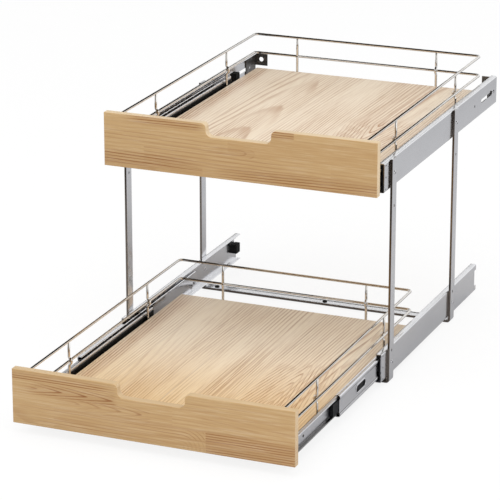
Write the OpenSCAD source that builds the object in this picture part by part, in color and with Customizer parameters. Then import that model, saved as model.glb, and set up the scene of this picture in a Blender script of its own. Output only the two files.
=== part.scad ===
// Two-tier pull-out cabinet organiser: two wooden trays with wire galleries,
// each on a pair of three-section ball-bearing slides, in a frame of two bent
// steel hoops. Millimetres. X is across, Y runs into the cabinet, Z is up.
// The origin is midway between the two hoops, on the floor that they stand on.
// The lower tray is drawn well out and the upper tray a little out.

/* [Frame] */
// Width of the flat bar that the hoops are bent from
hoop_w = 19; // [14:1:26]
// Thickness of the hoops' flat bar
hoop_t = 3.5; // [3:0.5:5]
// Outer radius of the hoops' bends
hoop_bend_r = 5.5; // [5:0.5:9]
// Distance from the front hoop to the rear hoop
hoop_spacing = 289; // [200:1:330]
// Height of the lower rails above the hoops' straps
foot_gap = 5.9; // [4:0.1:15]
// Height from the lower rails to the upper rails
tier_pitch = 299; // [220:1:400]
// Length of the rails ahead of the front hoop
rail_lead = 26; // [16:1:60]

/* [Rails] */
// Distance over the outsides of a tier's two rails
rail_span = 430; // [300:1:600]
// Height of a rail
rail_h = 45; // [45:0.5:52]
// Depth of a rail's flanges from its outside face
rail_w = 10; // [9:0.5:11]
// Sheet thickness of the rails
rail_t = 1.5; // [1.2:0.1:1.8]
// Length of the lower rails and of the slides
slide_l = 457; // [456:1:520]
// Extra length of the upper rails behind their slides
upper_rail_extra = 84; // [70:1:120]

/* [Slides] */
// Depth of a slide from the rail's web to the tray
slide_depth = 12.7; // [12.5:0.1:14]
// Height of the middle member
mid_h = 34; // [33:0.5:35]
// Length that a middle member is short of its slide
mid_short = 29; // [27:1:60]
// Height of the inner member
inner_h = 26; // [24:0.5:27]
// Length that an inner member is short of its slide
inner_short = 21; // [20:1:50]
// Sheet thickness of the middle and inner members
member_t = 1.2; // [1:0.1:1.3]
// Balls in each row
balls_per_row = 6; // [3:1:7]
// Length of the outer ball cage
outer_cage_l = 150; // [140:1:180]
// Length of the inner ball cage behind its nose
inner_cage_l = 262; // [200:1:280]
// Length of the inner cage's plastic nose
nose_l = 28; // [15:1:40]

/* [Trays] */
// Length of a tray's board
board_l = 532; // [440:1:535]
// Thickness of a tray's board
board_t = 12; // [12:0.5:14]
// Height of a board's underside above its rail's bottom
board_lift = 15.5; // [13:0.5:18]
// Room beside a board for the gallery's legs
side_room = 6.8; // [6.4:0.1:12]
// Height of a front panel
panel_h = 83; // [75:1:120]
// Thickness of a front panel
panel_t = 14; // [12:0.5:20]
// Height of a panel's bottom above its rail's bottom
panel_rise = 5.5; // [2:0.5:8]
// Width of a panel beyond the hoops at each side
panel_overhang = 0.5; // [0.5:0.5:20]
// Half width of the finger notch
notch_half = 52.5; // [40:0.5:55]
// Depth of the finger notch
notch_depth = 20.5; // [17:0.5:24]
// Radius of the finger notch's lower corners
notch_low_r = 10; // [4:0.5:10]
// Radius of the finger notch's upper edges
notch_top_r = 7; // [3:0.5:7]

/* [Wire gallery] */
// Diameter of the gallery wire
wire_d = 4; // [3:0.5:4.5]
// Depth of the top wire below the panel's top
top_wire_drop = 3.6; // [3.5:0.1:12]
// Height of the lower wire above the board
low_wire_rise = 25.8; // [20:0.2:34]
// Centreline radius of the gallery's corners
corner_r = 7; // [6:0.5:20]
// Distance of the front side legs from the panel
front_leg_y = 127.5; // [100:0.5:180]
// Distance of the rear side legs from the board's rear edge
rear_leg_y = 124; // [90:1:180]
// Half distance between the two back legs
back_leg_x = 122; // [80:1:150]

/* [Drawn position] */
// Opening of the lower tray
lower_open = 349; // [1:1:457]
// Opening of the upper tray
upper_open = 29; // [1:1:457]

/* [Hidden] */
$fn = 48;

// Tiers and sides
LOWER = 0;
UPPER = 1;
LEFT = -1;
RIGHT = 1;

// Clearances
run_gap = 0.3;       // between pieces that slide past each other
pin_gap = 0.2;       // round a pin, wire or screw in its hole
shut_gap = 1;        // from a panel's back to the rails' front ends when shut

// Frame
hoop_ys = [-hoop_spacing / 2, hoop_spacing / 2];
web_x = rail_span / 2;               // outside face of a rail
web_in = web_x - rail_t;             // inside face of a rail's web
hoop_x = web_x + hoop_t;             // outside face of a hoop
rail_y = hoop_ys[0] - hoop_w / 2 - rail_lead;    // front end of the rails
upper_rail_l = slide_l + upper_rail_extra;
function tier_z(tier) = hoop_t + foot_gap + tier * tier_pitch;
hoop_top = tier_z(UPPER) + rail_h;
function opening(tier) = tier == LOWER ? lower_open : upper_open;
function drawn_out(tier) = opening(tier) - shut_gap;
function tray_y(tier) = rail_y - opening(tier);

// Holes and fasteners of the frame
rivet_r = 2;
rivet_head_r = 3.5;
rivet_head_t = 1.4;
rivet_tail_t = 0.9;
rivet_z = rail_h / 2;
spare_hole_r = 2.1;
spare_drop = 51;                     // spare hole below an upper rivet
spare_rise = 19;                     // spare hole above a lower rivet
floor_screw_x = 191.5 * rail_span / 430;
floor_screw_r = 1.9;
floor_head_r = 4;
floor_head_t = 2.6;
tip_gap = 0.2;

// Rail details
rail_bend = 1.2;
lip = 1;
bumper_l = 11;
dot_r = 1.2;
dot_y = 7;
dot_edge = 4.2;
end_notch_l = 8;
end_notch_edge = 9;
rail_hole_r = 2.1;
rail_hole_back = 30;
slot_r = 3;
slot_front = 3;
slot_back = 12;
slit_w = 1.6;
slit_y = 347;
slit_edge = 1.5;

// Back brackets
bracket_t = 1.5;
bracket_l = 41;
bracket_edge = 1;                    // below the rail's top flange
tab_w = 23.5;
tab_h = 21;
tab_hole_r = 4;
tab_hole_in = 12.5;
tab_hole_down = 10.5;
bracket_screw_r = 2;
bracket_head_r = 4.2;
bracket_head_t = 2;
bracket_screw_back = 26;

// Middle member and its place: it follows the tray at half its travel
mid_l = slide_l - mid_short;
mid_web_u = 2.2;                     // raceway bands, from the rail's web
band_step = 1.2;
band_h = 5.3;
mid_bend = 1.2;
mid_w = 8;
mid_setback = 9;                     // behind the rail's front end when shut
mid_slot_y = 70;
mid_slot_l = 39;
mid_slot_h = 8;
function mid_y(tier) = rail_y + mid_setback - drawn_out(tier) / 2;

// Inner member
inner_l = slide_l - inner_short;
inner_band = 4;
inner_w = slide_depth - mid_web_u - band_step - member_t - 1.2;
inner_slot_y = 9;
inner_slot_l = 13;
inner_slot_r = 2.4;

// Ball gaps: rail to middle member, and middle to inner member
outer_gap_h = (rail_h - 2 * rail_t - mid_h) / 2;
inner_gap_h = (mid_h - 2 * member_t - inner_h) / 2;
outer_ball_r = outer_gap_h / 2 - run_gap;
inner_ball_r = inner_gap_h / 2 - run_gap;
cage_t = 0.6;
outer_cage_u = mid_web_u - run_gap - cage_t;
inner_cage_u = mid_web_u + band_step + member_t + run_gap;
outer_cage_w = 6.4;
inner_cage_w = 5.5;
outer_ball_u = 5.4;
inner_ball_u = 8.6;
ball_hole_gap = 0.25;
outer_cage_setback = 126;            // behind the rail's front end when shut
nose_setback = 74;
outer_first_ball = 14;
outer_ball_pitch = 20;
inner_first_ball = 50;
inner_ball_pitch = 26;
nose_h = 20;
nose_w = 5.2;
function outer_cage_y(tier) = rail_y + outer_cage_setback - drawn_out(tier) / 4;
function nose_y(tier) = rail_y + nose_setback - drawn_out(tier) * 3 / 4;

// Rear stops, just behind the shut slides
stop_gap = 1;
stop_l = 15;
stop_w = 9;
stop_h = 16;
stop_y = rail_y + max(mid_setback + mid_l, shut_gap + run_gap + inner_l) + stop_gap;

// Trays
slide_face = web_in - slide_depth;   // face that the slide gives to the tray
board_x = slide_face - side_room;    // side of a board
board_top = board_lift + board_t;
panel_x = hoop_x + panel_overhang;
panel_top = panel_rise + panel_h;
angle_t = 1.2;
angle_w = 30;
angle_rise = 3.5;
dowel_r = 3;
dowel_l = 30;
dowel_in_panel = 9.5;
dowel_end_gap = 0.5;
dowel_half = 60;
dowel_wide = 150;

// Tray screws
slide_screw_front = 60;
slide_screw_mid = 250;
slide_screw_rear = 66;
slide_screw_ys = [slide_screw_front, slide_screw_mid, inner_l - slide_screw_rear];
slide_screw_r = 2;
slide_head_r = 3.6;
slide_head_t = 1.9;
slide_screw_past = 0.9;
board_screw_end = 46;                // from the angle's ends
board_screw_ys = [board_screw_end, inner_l / 2, inner_l - board_screw_end];
board_screw_r = 1.75;
board_head_r = 3.5;
board_head_t = 1.8;
board_screw_in = 8.5;
board_screw_side = 12;
board_screw_x = board_x - board_screw_side;

// Wire gallery
wire_r = wire_d / 2;
wire_gap = 0.1;                      // between crossing wires, and wire and board
wire_x = board_x + wire_r + 1;
wire_back = board_l + wire_r + 0.5;
wire_in_panel = 8;
wire_end_gap = 0.5;
top_wire_z = panel_top - top_wire_drop;
low_wire_z = board_top + low_wire_rise;
leg_bend_r = 3.5;
leg_in_board = 8;
leg_foot_z = board_lift + board_t / 2;
kink = wire_d + wire_gap;            // how far a leg steps round the lower wire
kink_r = kink / 0.8;                 // its four arcs turn 0.6 in cosine, 0.8 in sine
kink_h = 1.6 * kink_r;
side_leg_ys = [front_leg_y, board_l - rear_leg_y];

steel = [0.74, 0.75, 0.77];
bright_wire = [0.70, 0.69, 0.67];
black = [0.06, 0.06, 0.07];
board_wood = [0.88, 0.79, 0.66];
panel_wood = [0.80, 0.65, 0.43];
cut = 0.5;                           // how far a cutting shape runs past a face

// ---- helpers ----

// Puts a right-hand piece on the given side
module on_side(side) {
    if (side == RIGHT) children();
    else mirror([1, 0, 0]) children();
}

// Draws its children for both sides
module both_sides() {
    children();
    mirror([1, 0, 0]) children();
}

function unit(v) = v / norm(v);
function left_of(d) = [-d[1], d[0]];

// Miter offset of a path's point by t to the left
function mitre(path, i, t) =
    let (last = len(path) - 1,
         a = unit(path[min(i + 1, last)] - path[min(i, last - 1)]),
         b = unit(path[max(i, 1)] - path[max(i - 1, 0)]),
         n = left_of(a), m = left_of(b))
    path[i] + t * (n + m) / (1 + n * m);

// A sheet section: an open path with thickness t to its left
module sheet_section(path, t) {
    count = len(path);
    polygon(concat(path, [for (i = [count - 1:-1:0]) mitre(path, i, t)]));
}

// Carries a section drawn in (u, z) along Y on the right side. u runs inwards
// from the rail web's inside face.
module run_on_rail(y, l, z)
    translate([web_in, y + l, z]) rotate([90, 0, 0])
        linear_extrude(l) mirror([1, 0]) children();

// A hole or pin along X, starting at x
module along_x(x, y, z, l, r)
    translate([x, y, z]) rotate([0, 90, 0]) cylinder(h = l, r = r);

// A hole or pin along Y, starting at y
module along_y(x, y, z, l, r)
    translate([x, y, z]) rotate([-90, 0, 0]) cylinder(h = l, r = r);

// An oblong hole along Y through a web that lies across X
module slot_x(x, y, z, l, t, r) {
    along_x(x, y + r, z, t, r);
    along_x(x, y + l - r, z, t, r);
    translate([x, y + r, z - r]) cube([t, l - 2 * r, 2 * r]);
}

// A bend of wire in a vertical plane or flat, by the caller's turn
module wire_bend(r, angle = 90)
    rotate_extrude(angle = angle) translate([r, 0]) circle(r = wire_r);

// One of a kink's four arcs, in the upright plane of Y and Z about a centre
// there. It starts level with the centre, on its side_y, and turns towards side_z.
module kink_arc(y, z, side_y, side_z)
    translate([0, y, z]) rotate([90, 0, 90])
        mirror([side_y < 0 ? 1 : 0, 0, 0]) mirror([0, side_z < 0 ? 1 : 0, 0])
            intersection() {
                wire_bend(kink_r);
                translate([0, 0, -wire_d]) linear_extrude(2 * wire_d)
                    polygon([[0, 0], [2 * kink_r, 0], [2 * kink_r, 2 * kink_r],
                             [1.5 * kink_r, 2 * kink_r]]);
            }

// ---- frame ----

// An upright U with round lower corners
module round_u(half, bottom, r, top) {
    translate([-half, bottom + r]) square([2 * half, top - bottom - r]);
    translate([-half + r, bottom]) square([2 * (half - r), 2 * r]);
    for (side = [LEFT, RIGHT])
        translate([side * (half - r), bottom + r]) circle(r = r);
}

// A hoop bent from one flat bar: two uprights and the strap between them
module hoop(y) {
    rivets = [for (tier = [LOWER, UPPER]) tier_z(tier) + rivet_z];
    spares = [rivets[LOWER] + spare_rise, rivets[UPPER] - spare_drop];
    color(steel) difference() {
        translate([0, y + hoop_w / 2, 0]) rotate([90, 0, 0]) linear_extrude(hoop_w)
            difference() {
                round_u(hoop_x, 0, hoop_bend_r, hoop_top);
                round_u(web_x, hoop_t, hoop_bend_r - hoop_t, hoop_top + cut);
            }
        for (side = [LEFT, RIGHT]) {
            x = side == RIGHT ? web_x - cut : -hoop_x - cut;
            for (z = rivets)
                along_x(x, y, z, hoop_t + 2 * cut, rivet_r + pin_gap);
            for (z = spares)
                along_x(x, y, z, hoop_t + 2 * cut, spare_hole_r);
        }
        for (i = [-1:1])
            translate([i * floor_screw_x, y, -cut])
                cylinder(h = hoop_t + 2 * cut, r = floor_screw_r + pin_gap);
    }
}

// The section of a rail, with rolled lips on its flanges
function rail_path(w) = [
    [w - rail_t + lip, lip], [w - rail_t, 0], [rail_bend - rail_t, 0],
    [-rail_t, rail_bend], [-rail_t, rail_h - rail_bend],
    [rail_bend - rail_t, rail_h], [w - rail_t, rail_h], [w - rail_t + lip, rail_h - lip]
];

module rail_cuts(tier, l) {
    z = tier_z(tier);
    for (y = hoop_ys)
        along_x(web_in - cut, y, z + rivet_z, rail_t + 2 * cut, rivet_r + pin_gap);
    for (v = [dot_edge, rail_h / 2, rail_h - dot_edge])
        along_x(web_in - cut, rail_y + dot_y, z + v, rail_t + 2 * cut, dot_r);
    if (tier == LOWER)
        translate([web_in - rail_w, rail_y + l - end_notch_l, z + end_notch_edge])
            cube([2 * rail_w, end_notch_l + cut, rail_h - 2 * end_notch_edge]);
    if (tier == UPPER) {
        along_x(web_in - cut, rail_y + slide_l - rail_hole_back, z + rivet_z,
                rail_t + 2 * cut, rail_hole_r);
        slot_x(web_in - cut, rail_y + slide_l + slot_front, z + rivet_z,
               upper_rail_extra - slot_front - slot_back, rail_t + 2 * cut, slot_r);
        translate([web_x - rail_w + slit_edge, rail_y + slit_y, z + rail_h - rail_t - cut])
            cube([rail_w - 2 * slit_edge, slit_w, rail_t + 2 * cut]);
    }
}

// A rail: the outer member of a slide, a channel with its web outside
module rail(tier, side) {
    l = tier == LOWER ? slide_l : upper_rail_l;
    color(steel) on_side(side) difference() {
        run_on_rail(rail_y, l, tier_z(tier))
            mirror([0, 1]) translate([0, -rail_h]) sheet_section(rail_path(rail_w - lip), -rail_t);
        rail_cuts(tier, l);
    }
}

// Rivets that hold the rails to the hoops
module rail_rivets()
    color([0.6, 0.61, 0.63]) both_sides()
        for (tier = [LOWER, UPPER], y = hoop_ys) {
            z = tier_z(tier) + rivet_z;
            along_x(hoop_x, y, z, rivet_head_t, rivet_head_r);
            along_x(web_in, y, z, rail_t + hoop_t, rivet_r);
            along_x(web_in - rivet_tail_t, y, z, rivet_tail_t, rivet_head_r);
        }

// Screws through the middle of the straps, drawn only as far as the floor
module floor_screws()
    color(black)
        for (y = hoop_ys)
            translate([0, y, 0]) {
                translate([0, 0, tip_gap]) cylinder(h = hoop_t - tip_gap, r = floor_screw_r);
                translate([0, 0, hoop_t]) cylinder(h = floor_head_t, r1 = floor_head_r,
                                                   r2 = floor_head_r - 1);
            }

// Plastic end guides in the rails' mouths
module front_bumpers() {
    guide_t = mid_web_u - run_gap;
    block = (rail_h - mid_h) / 2 - rail_t - run_gap;
    latch_w = band_step - run_gap;
    latch_h = 9;
    color(black) both_sides() for (tier = [LOWER, UPPER])
        run_on_rail(rail_y - 0.8, bumper_l, tier_z(tier)) {
            translate([0, rail_t]) square([guide_t, rail_h - 2 * rail_t]);
            translate([0, rail_t]) square([rail_w - rail_t - 2 * lip, block]);
            translate([0, rail_h - rail_t - block]) square([rail_w - rail_t - 2 * lip, block]);
            translate([guide_t - cut, (rail_h - latch_h) / 2]) square([latch_w + cut, latch_h]);
        }
}

// Rubber stops at the back of the rails
module rear_stops()
    color(black) both_sides() for (tier = [LOWER, UPPER])
        translate([web_in - stop_w, stop_y, tier_z(tier) + (rail_h - stop_h) / 2])
            cube([stop_w, stop_l, stop_h]);

// A bracket in the back end of an upper rail, with a tab for the cabinet's back
module back_bracket(side) {
    y_end = rail_y + upper_rail_l;
    z_top = tier_z(UPPER) + rail_h - rail_t - bracket_edge;
    arm_h = rail_h - 2 * rail_t - 2 * bracket_edge;
    color([0.30, 0.29, 0.28]) on_side(side) difference() {
        union() {
            translate([web_in - bracket_t, y_end - bracket_l, z_top - arm_h])
                cube([bracket_t, bracket_l, arm_h]);
            translate([web_in - tab_w, y_end - bracket_t, z_top - tab_h])
                cube([tab_w, bracket_t, tab_h]);
        }
        along_x(web_in - bracket_t - cut, y_end - bracket_screw_back, tier_z(UPPER) + rivet_z,
                bracket_t + 2 * cut, bracket_screw_r + pin_gap);
        along_y(web_in - tab_hole_in, y_end - bracket_t - cut, z_top - tab_hole_down,
                bracket_t + 2 * cut, tab_hole_r);
    }
}

// Screws that clamp the brackets in the rails' slots
module bracket_screws()
    color(steel) both_sides() {
        y = rail_y + upper_rail_l - bracket_screw_back;
        z = tier_z(UPPER) + rivet_z;
        along_x(web_x, y, z, bracket_head_t, bracket_head_r);
        along_x(web_in - bracket_t, y, z, rail_t + bracket_t, bracket_screw_r);
    }

// ---- slides ----

// A member's section: raceway bands, a stepped web and two flanges with lips
function member_path(u, w, h, bend, band, step, edge) = [
    [u + w + edge, h - edge], [u + w, h], [u + bend, h], [u, h - bend],
    [u, h - band], [u + step, h - band - bend], [u + step, band + bend], [u, band],
    [u, bend], [u + bend, 0], [u + w, 0], [u + w + edge, edge]
];

// The middle member, between the rail and the tray's member
module mid_slide(tier, side) {
    y = mid_y(tier);
    z = tier_z(tier) + (rail_h - mid_h) / 2;
    edge = 0.8;
    color([0.80, 0.81, 0.83]) on_side(side) difference() {
        run_on_rail(y, mid_l, z)
            sheet_section(member_path(mid_web_u, mid_w - edge, mid_h, mid_bend,
                                      band_h, band_step, edge), member_t);
        slot_x(web_in - mid_web_u - band_step - member_t - cut, y + mid_slot_y, z + mid_h / 2,
               mid_slot_l, member_t + 2 * cut, mid_slot_h / 2);
    }
}

// The inner member, fixed to the tray
module inner_slide(tier, side) {
    y = tray_y(tier) + run_gap;
    z = tier_z(tier) + (rail_h - inner_h) / 2;
    edge = 0.9;
    color([0.78, 0.79, 0.82]) on_side(side) difference() {
        run_on_rail(y, inner_l, z)
            mirror([1, 0]) translate([-slide_depth, 0])
                sheet_section(member_path(0, inner_w - edge, inner_h, mid_bend,
                                          inner_band, 0, edge), member_t);
        for (screw_y = slide_screw_ys)
            along_x(slide_face - cut, y - run_gap + screw_y, z + inner_h / 2,
                    member_t + 2 * cut, slide_screw_r + pin_gap);
        slot_x(slide_face - cut, y + inner_slot_y, z + inner_h / 2,
               inner_slot_l, member_t + 2 * cut, inner_slot_r);
    }
}

// One row of balls above and one below, or the holes that hold them
module ball_rows(y, u, first, pitch, zs, r)
    for (z = zs, i = [0:balls_per_row - 1])
        translate([web_in - u, y + first + i * pitch, z]) sphere(r = r);

module ball_holes(y, u, first, pitch, z, h, r)
    for (i = [0:balls_per_row - 1])
        translate([web_in - u, y + first + i * pitch, z - cut]) cylinder(h = h + 2 * cut, r = r);

// A cage: a thin channel that keeps both rows of balls at their spacing
module cage(y, l, z, h, u, w, ball_u, first, pitch, r)
    difference() {
        run_on_rail(y, l, z) {
            translate([u, 0]) square([cage_t, h]);
            translate([u, 0]) square([w, cage_t]);
            translate([u, h - cage_t]) square([w, cage_t]);
        }
        ball_holes(y, ball_u, first, pitch, z, h, r + ball_hole_gap);
    }

function outer_ball_zs(tier) = [
    tier_z(tier) + rail_t + outer_gap_h / 2,
    tier_z(tier) + rail_h - rail_t - outer_gap_h / 2
];
function inner_ball_zs(tier) = [
    tier_z(tier) + (rail_h - inner_h) / 2 - inner_gap_h / 2,
    tier_z(tier) + (rail_h + inner_h) / 2 + inner_gap_h / 2
];

module outer_cages(tier) {
    zs = outer_ball_zs(tier);
    color([0.45, 0.46, 0.48]) both_sides()
        cage(outer_cage_y(tier), outer_cage_l, zs[0] - cage_t / 2, zs[1] - zs[0] + cage_t,
             outer_cage_u, outer_cage_w, outer_ball_u, outer_first_ball, outer_ball_pitch,
             outer_ball_r);
}

module outer_balls(tier)
    color([0.85, 0.86, 0.88]) both_sides()
        ball_rows(outer_cage_y(tier), outer_ball_u, outer_first_ball, outer_ball_pitch,
                  outer_ball_zs(tier), outer_ball_r);

// The inner cage ends in a plastic nose that shows ahead of the middle member
module inner_cages(tier) {
    zs = inner_ball_zs(tier);
    y = nose_y(tier);
    color(black) both_sides() {
        cage(y + nose_l, inner_cage_l, zs[0] - cage_t / 2, zs[1] - zs[0] + cage_t,
             inner_cage_u, inner_cage_w, inner_ball_u, inner_first_ball, inner_ball_pitch,
             inner_ball_r);
        run_on_rail(y, nose_l + cut, tier_z(tier) + (rail_h - nose_h) / 2)
            translate([inner_cage_u, 0]) square([nose_w, nose_h]);
    }
}

module inner_balls(tier)
    color([0.85, 0.86, 0.88]) both_sides()
        ball_rows(nose_y(tier) + nose_l, inner_ball_u, inner_first_ball, inner_ball_pitch,
                  inner_ball_zs(tier), inner_ball_r);

// ---- trays ----

// The board, with blind holes for the dowels and for the legs' feet
module tray_board(tier) {
    y = tray_y(tier);
    z = tier_z(tier);
    foot_l = leg_in_board + wire_end_gap;
    color(board_wood) difference() {
        translate([-board_x, y, z + board_lift]) cube([2 * board_x, board_l, board_t]);
        for (x = [-dowel_wide, -dowel_half, dowel_half, dowel_wide])
            along_y(x, y - cut, z + leg_foot_z, dowel_l - dowel_in_panel + dowel_end_gap + cut,
                    dowel_r + pin_gap / 2);
        both_sides() for (leg_y = side_leg_ys)
            along_x(board_x - foot_l, y + leg_y, z + leg_foot_z, foot_l + cut, wire_r + pin_gap);
        for (x = [-back_leg_x, back_leg_x])
            along_y(x, y + board_l - foot_l, z + leg_foot_z, foot_l + cut, wire_r + pin_gap);
        both_sides() for (screw_y = board_screw_ys)
            translate([board_screw_x, y + screw_y, z + board_lift - cut])
                cylinder(h = board_screw_in + tip_gap + cut, r = board_screw_r + pin_gap / 2);
    }
}

// The finger notch: rounded inwards at its lower corners, outwards at its edges
module notch_outline() {
    low = panel_top - notch_depth;
    round_u(notch_half, low, notch_low_r, panel_top + cut);
    for (side = [LEFT, RIGHT])
        difference() {
            translate([side < 0 ? -notch_half - notch_top_r : notch_half, panel_top - notch_top_r])
                square([notch_top_r, notch_top_r + cut]);
            translate([side * (notch_half + notch_top_r), panel_top - notch_top_r])
                circle(r = notch_top_r);
        }
}

// The front panel, with blind holes in its back for dowels and wire ends
module front_panel(tier) {
    y = tray_y(tier);
    z = tier_z(tier);
    color(panel_wood) difference() {
        translate([0, y, z]) rotate([90, 0, 0]) linear_extrude(panel_t) difference() {
            translate([-panel_x, panel_rise]) square([2 * panel_x, panel_h]);
            notch_outline();
        }
        for (x = [-dowel_wide, -dowel_half, dowel_half, dowel_wide])
            along_y(x, y - dowel_in_panel - dowel_end_gap, z + leg_foot_z,
                    dowel_in_panel + dowel_end_gap + cut, dowel_r + pin_gap / 2);
        both_sides() for (wire_z = [top_wire_z, low_wire_z])
            along_y(wire_x, y - wire_in_panel - wire_end_gap, z + wire_z,
                    wire_in_panel + wire_end_gap + cut, wire_r + pin_gap / 2);
    }
}

module panel_dowels(tier)
    color([0.85, 0.72, 0.52])
        for (x = [-dowel_wide, -dowel_half, dowel_half, dowel_wide])
            along_y(x, tray_y(tier) - dowel_in_panel, tier_z(tier) + leg_foot_z,
                    dowel_l, dowel_r);

// The angle under a board's side, which the slide is screwed to
module board_angle(tier, side) {
    y = tray_y(tier) + run_gap;
    z = tier_z(tier) + board_lift - angle_t;
    color([0.72, 0.73, 0.75]) on_side(side) difference() {
        union() {
            translate([slide_face - angle_w, y, z]) cube([angle_w, inner_l, angle_t]);
            translate([slide_face - angle_t, y, z])
                cube([angle_t, inner_l, angle_t + board_t + angle_rise]);
        }
        for (screw_y = slide_screw_ys)
            along_x(slide_face - angle_t - cut, y - run_gap + screw_y,
                    tier_z(tier) + rail_h / 2, angle_t + 2 * cut, slide_screw_r + pin_gap);
        for (screw_y = board_screw_ys)
            translate([board_screw_x, y - run_gap + screw_y, z - cut])
                cylinder(h = angle_t + 2 * cut, r = board_screw_r + pin_gap);
    }
}

// Screws from beside the board through the angle into the inner member
module slide_screws(tier)
    color(steel) both_sides() for (screw_y = slide_screw_ys) {
        y = tray_y(tier) + screw_y;
        z = tier_z(tier) + rail_h / 2;
        x = slide_face - angle_t;
        along_x(x - slide_head_t, y, z, slide_head_t, slide_head_r);
        along_x(x, y, z, angle_t + member_t + slide_screw_past, slide_screw_r);
    }

// Screws from below through the angle into the board
module board_screws(tier)
    color(steel) both_sides() for (screw_y = board_screw_ys) {
        z = tier_z(tier) + board_lift;
        translate([board_screw_x, tray_y(tier) + screw_y, z - angle_t - board_head_t]) {
            cylinder(h = board_head_t, r = board_head_r);
            cylinder(h = board_head_t + angle_t + board_screw_in, r = board_screw_r);
        }
    }

// ---- wire gallery, drawn from a panel's back and its rail's bottom ----

module tray_frame(tier) translate([0, tray_y(tier), tier_z(tier)]) children();

// The top wire: a U from one end of the panel round the back to the other
module top_wire(tier) {
    side_l = wire_back - corner_r + wire_in_panel;
    color(bright_wire) tray_frame(tier) translate([0, 0, top_wire_z]) {
        for (side = [LEFT, RIGHT]) along_y(side * wire_x, -wire_in_panel, 0, side_l, wire_r);
        translate([wire_x - corner_r, wire_back - corner_r, 0]) wire_bend(corner_r);
        translate([corner_r - wire_x, wire_back - corner_r, 0]) rotate([0, 0, 90]) wire_bend(corner_r);
        along_x(corner_r - wire_x, wire_back, 0, 2 * (wire_x - corner_r), wire_r);
    }
}

// A leg's foot: it turns under and into the board. Drawn for a leg that comes
// down at the origin and turns towards -Y at height 0.
module leg_foot(reach) {
    translate([0, -leg_bend_r, leg_bend_r]) rotate([0, 90, 0]) wire_bend(leg_bend_r);
    along_y(0, -leg_bend_r - reach, 0, reach, wire_r);
}

// The lower wires: the right one runs round to the left back leg, and the left
// one turns down there as that leg's lower half
module mid_wires(tier) {
    side_l = wire_back - corner_r + wire_in_panel;
    foot_reach = leg_in_board + 0.5 + wire_r - leg_bend_r;
    color(bright_wire) tray_frame(tier) {
        translate([0, 0, low_wire_z]) {
            for (side = [LEFT, RIGHT]) along_y(side * wire_x, -wire_in_panel, 0, side_l, wire_r);
            translate([wire_x - corner_r, wire_back - corner_r, 0]) wire_bend(corner_r);
            translate([corner_r - wire_x, wire_back - corner_r, 0])
                rotate([0, 0, 90]) wire_bend(corner_r);
            along_x(-back_leg_x + wire_r + wire_gap, wire_back, 0,
                    wire_x - corner_r + back_leg_x - wire_r - wire_gap, wire_r);
            along_x(corner_r - wire_x, wire_back, 0,
                    wire_x - corner_r - back_leg_x - leg_bend_r, wire_r);
            translate([-back_leg_x - leg_bend_r, wire_back, -leg_bend_r])
                rotate([90, 0, 0]) wire_bend(leg_bend_r);
        }
        translate([-back_leg_x, wire_back, leg_foot_z]) {
            translate([0, 0, leg_bend_r])
                cylinder(h = low_wire_z - leg_foot_z - 2 * leg_bend_r, r = wire_r);
            leg_foot(foot_reach);
        }
    }
}

// A leg below the top wire: it steps round the lower wire towards -Y, then
// goes down and turns into the board
module wire_leg() {
    reach = leg_in_board + 0.5 + wire_r - leg_bend_r;
    top = top_wire_z - wire_r - wire_gap - leg_foot_z;
    low = low_wire_z - leg_foot_z;
    translate([0, 0, low + kink_h]) cylinder(h = top - low - kink_h, r = wire_r);
    kink_arc(-kink_r, low + kink_h, 1, -1);
    kink_arc(kink_r - kink, low, -1, 1);
    kink_arc(kink_r - kink, low, -1, -1);
    kink_arc(-kink_r, low - kink_h, 1, 1);
    translate([0, 0, leg_bend_r]) cylinder(h = low - kink_h - leg_bend_r, r = wire_r);
    leg_foot(reach);
}

// Two legs at each side, one at the right back, and the upper half of the one
// at the left back
module wire_legs(tier)
    color(bright_wire) tray_frame(tier) {
        both_sides() for (leg_y = side_leg_ys)
            translate([wire_x, leg_y, leg_foot_z]) rotate([0, 0, -90]) wire_leg();
        translate([back_leg_x, wire_back, leg_foot_z]) wire_leg();
        translate([-back_leg_x, wire_back, low_wire_z + wire_r + wire_gap])
            cylinder(h = top_wire_z - low_wire_z - 2 * wire_r - 2 * wire_gap, r = wire_r);
    }

// ---- nodes ----

hoop(hoop_ys[0]);  // front_hoop
hoop(hoop_ys[1]);  // rear_hoop
rail(LOWER, LEFT);  // lower_left_rail
rail(LOWER, RIGHT);  // lower_right_rail
rail(UPPER, LEFT);  // upper_left_rail
rail(UPPER, RIGHT);  // upper_right_rail
rail_rivets();
floor_screws();
front_bumpers();
rear_stops();
back_bracket(LEFT);  // left_back_bracket
back_bracket(RIGHT);  // right_back_bracket
bracket_screws();
mid_slide(LOWER, LEFT);  // lower_left_mid_slide
mid_slide(LOWER, RIGHT);  // lower_right_mid_slide
mid_slide(UPPER, LEFT);  // upper_left_mid_slide
mid_slide(UPPER, RIGHT);  // upper_right_mid_slide
outer_cages(LOWER);  // lower_outer_cages
outer_balls(LOWER);  // lower_outer_balls
inner_cages(LOWER);  // lower_inner_cages
inner_balls(LOWER);  // lower_inner_balls
outer_cages(UPPER);  // upper_outer_cages
outer_balls(UPPER);  // upper_outer_balls
inner_cages(UPPER);  // upper_inner_cages
inner_balls(UPPER);  // upper_inner_balls
inner_slide(LOWER, LEFT);  // lower_left_inner_slide
inner_slide(LOWER, RIGHT);  // lower_right_inner_slide
inner_slide(UPPER, LEFT);  // upper_left_inner_slide
inner_slide(UPPER, RIGHT);  // upper_right_inner_slide
tray_board(LOWER);  // lower_tray_board
tray_board(UPPER);  // upper_tray_board
front_panel(LOWER);  // lower_front_panel
front_panel(UPPER);  // upper_front_panel
panel_dowels(LOWER);  // lower_panel_dowels
panel_dowels(UPPER);  // upper_panel_dowels
board_angle(LOWER, LEFT);  // lower_left_board_angle
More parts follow.
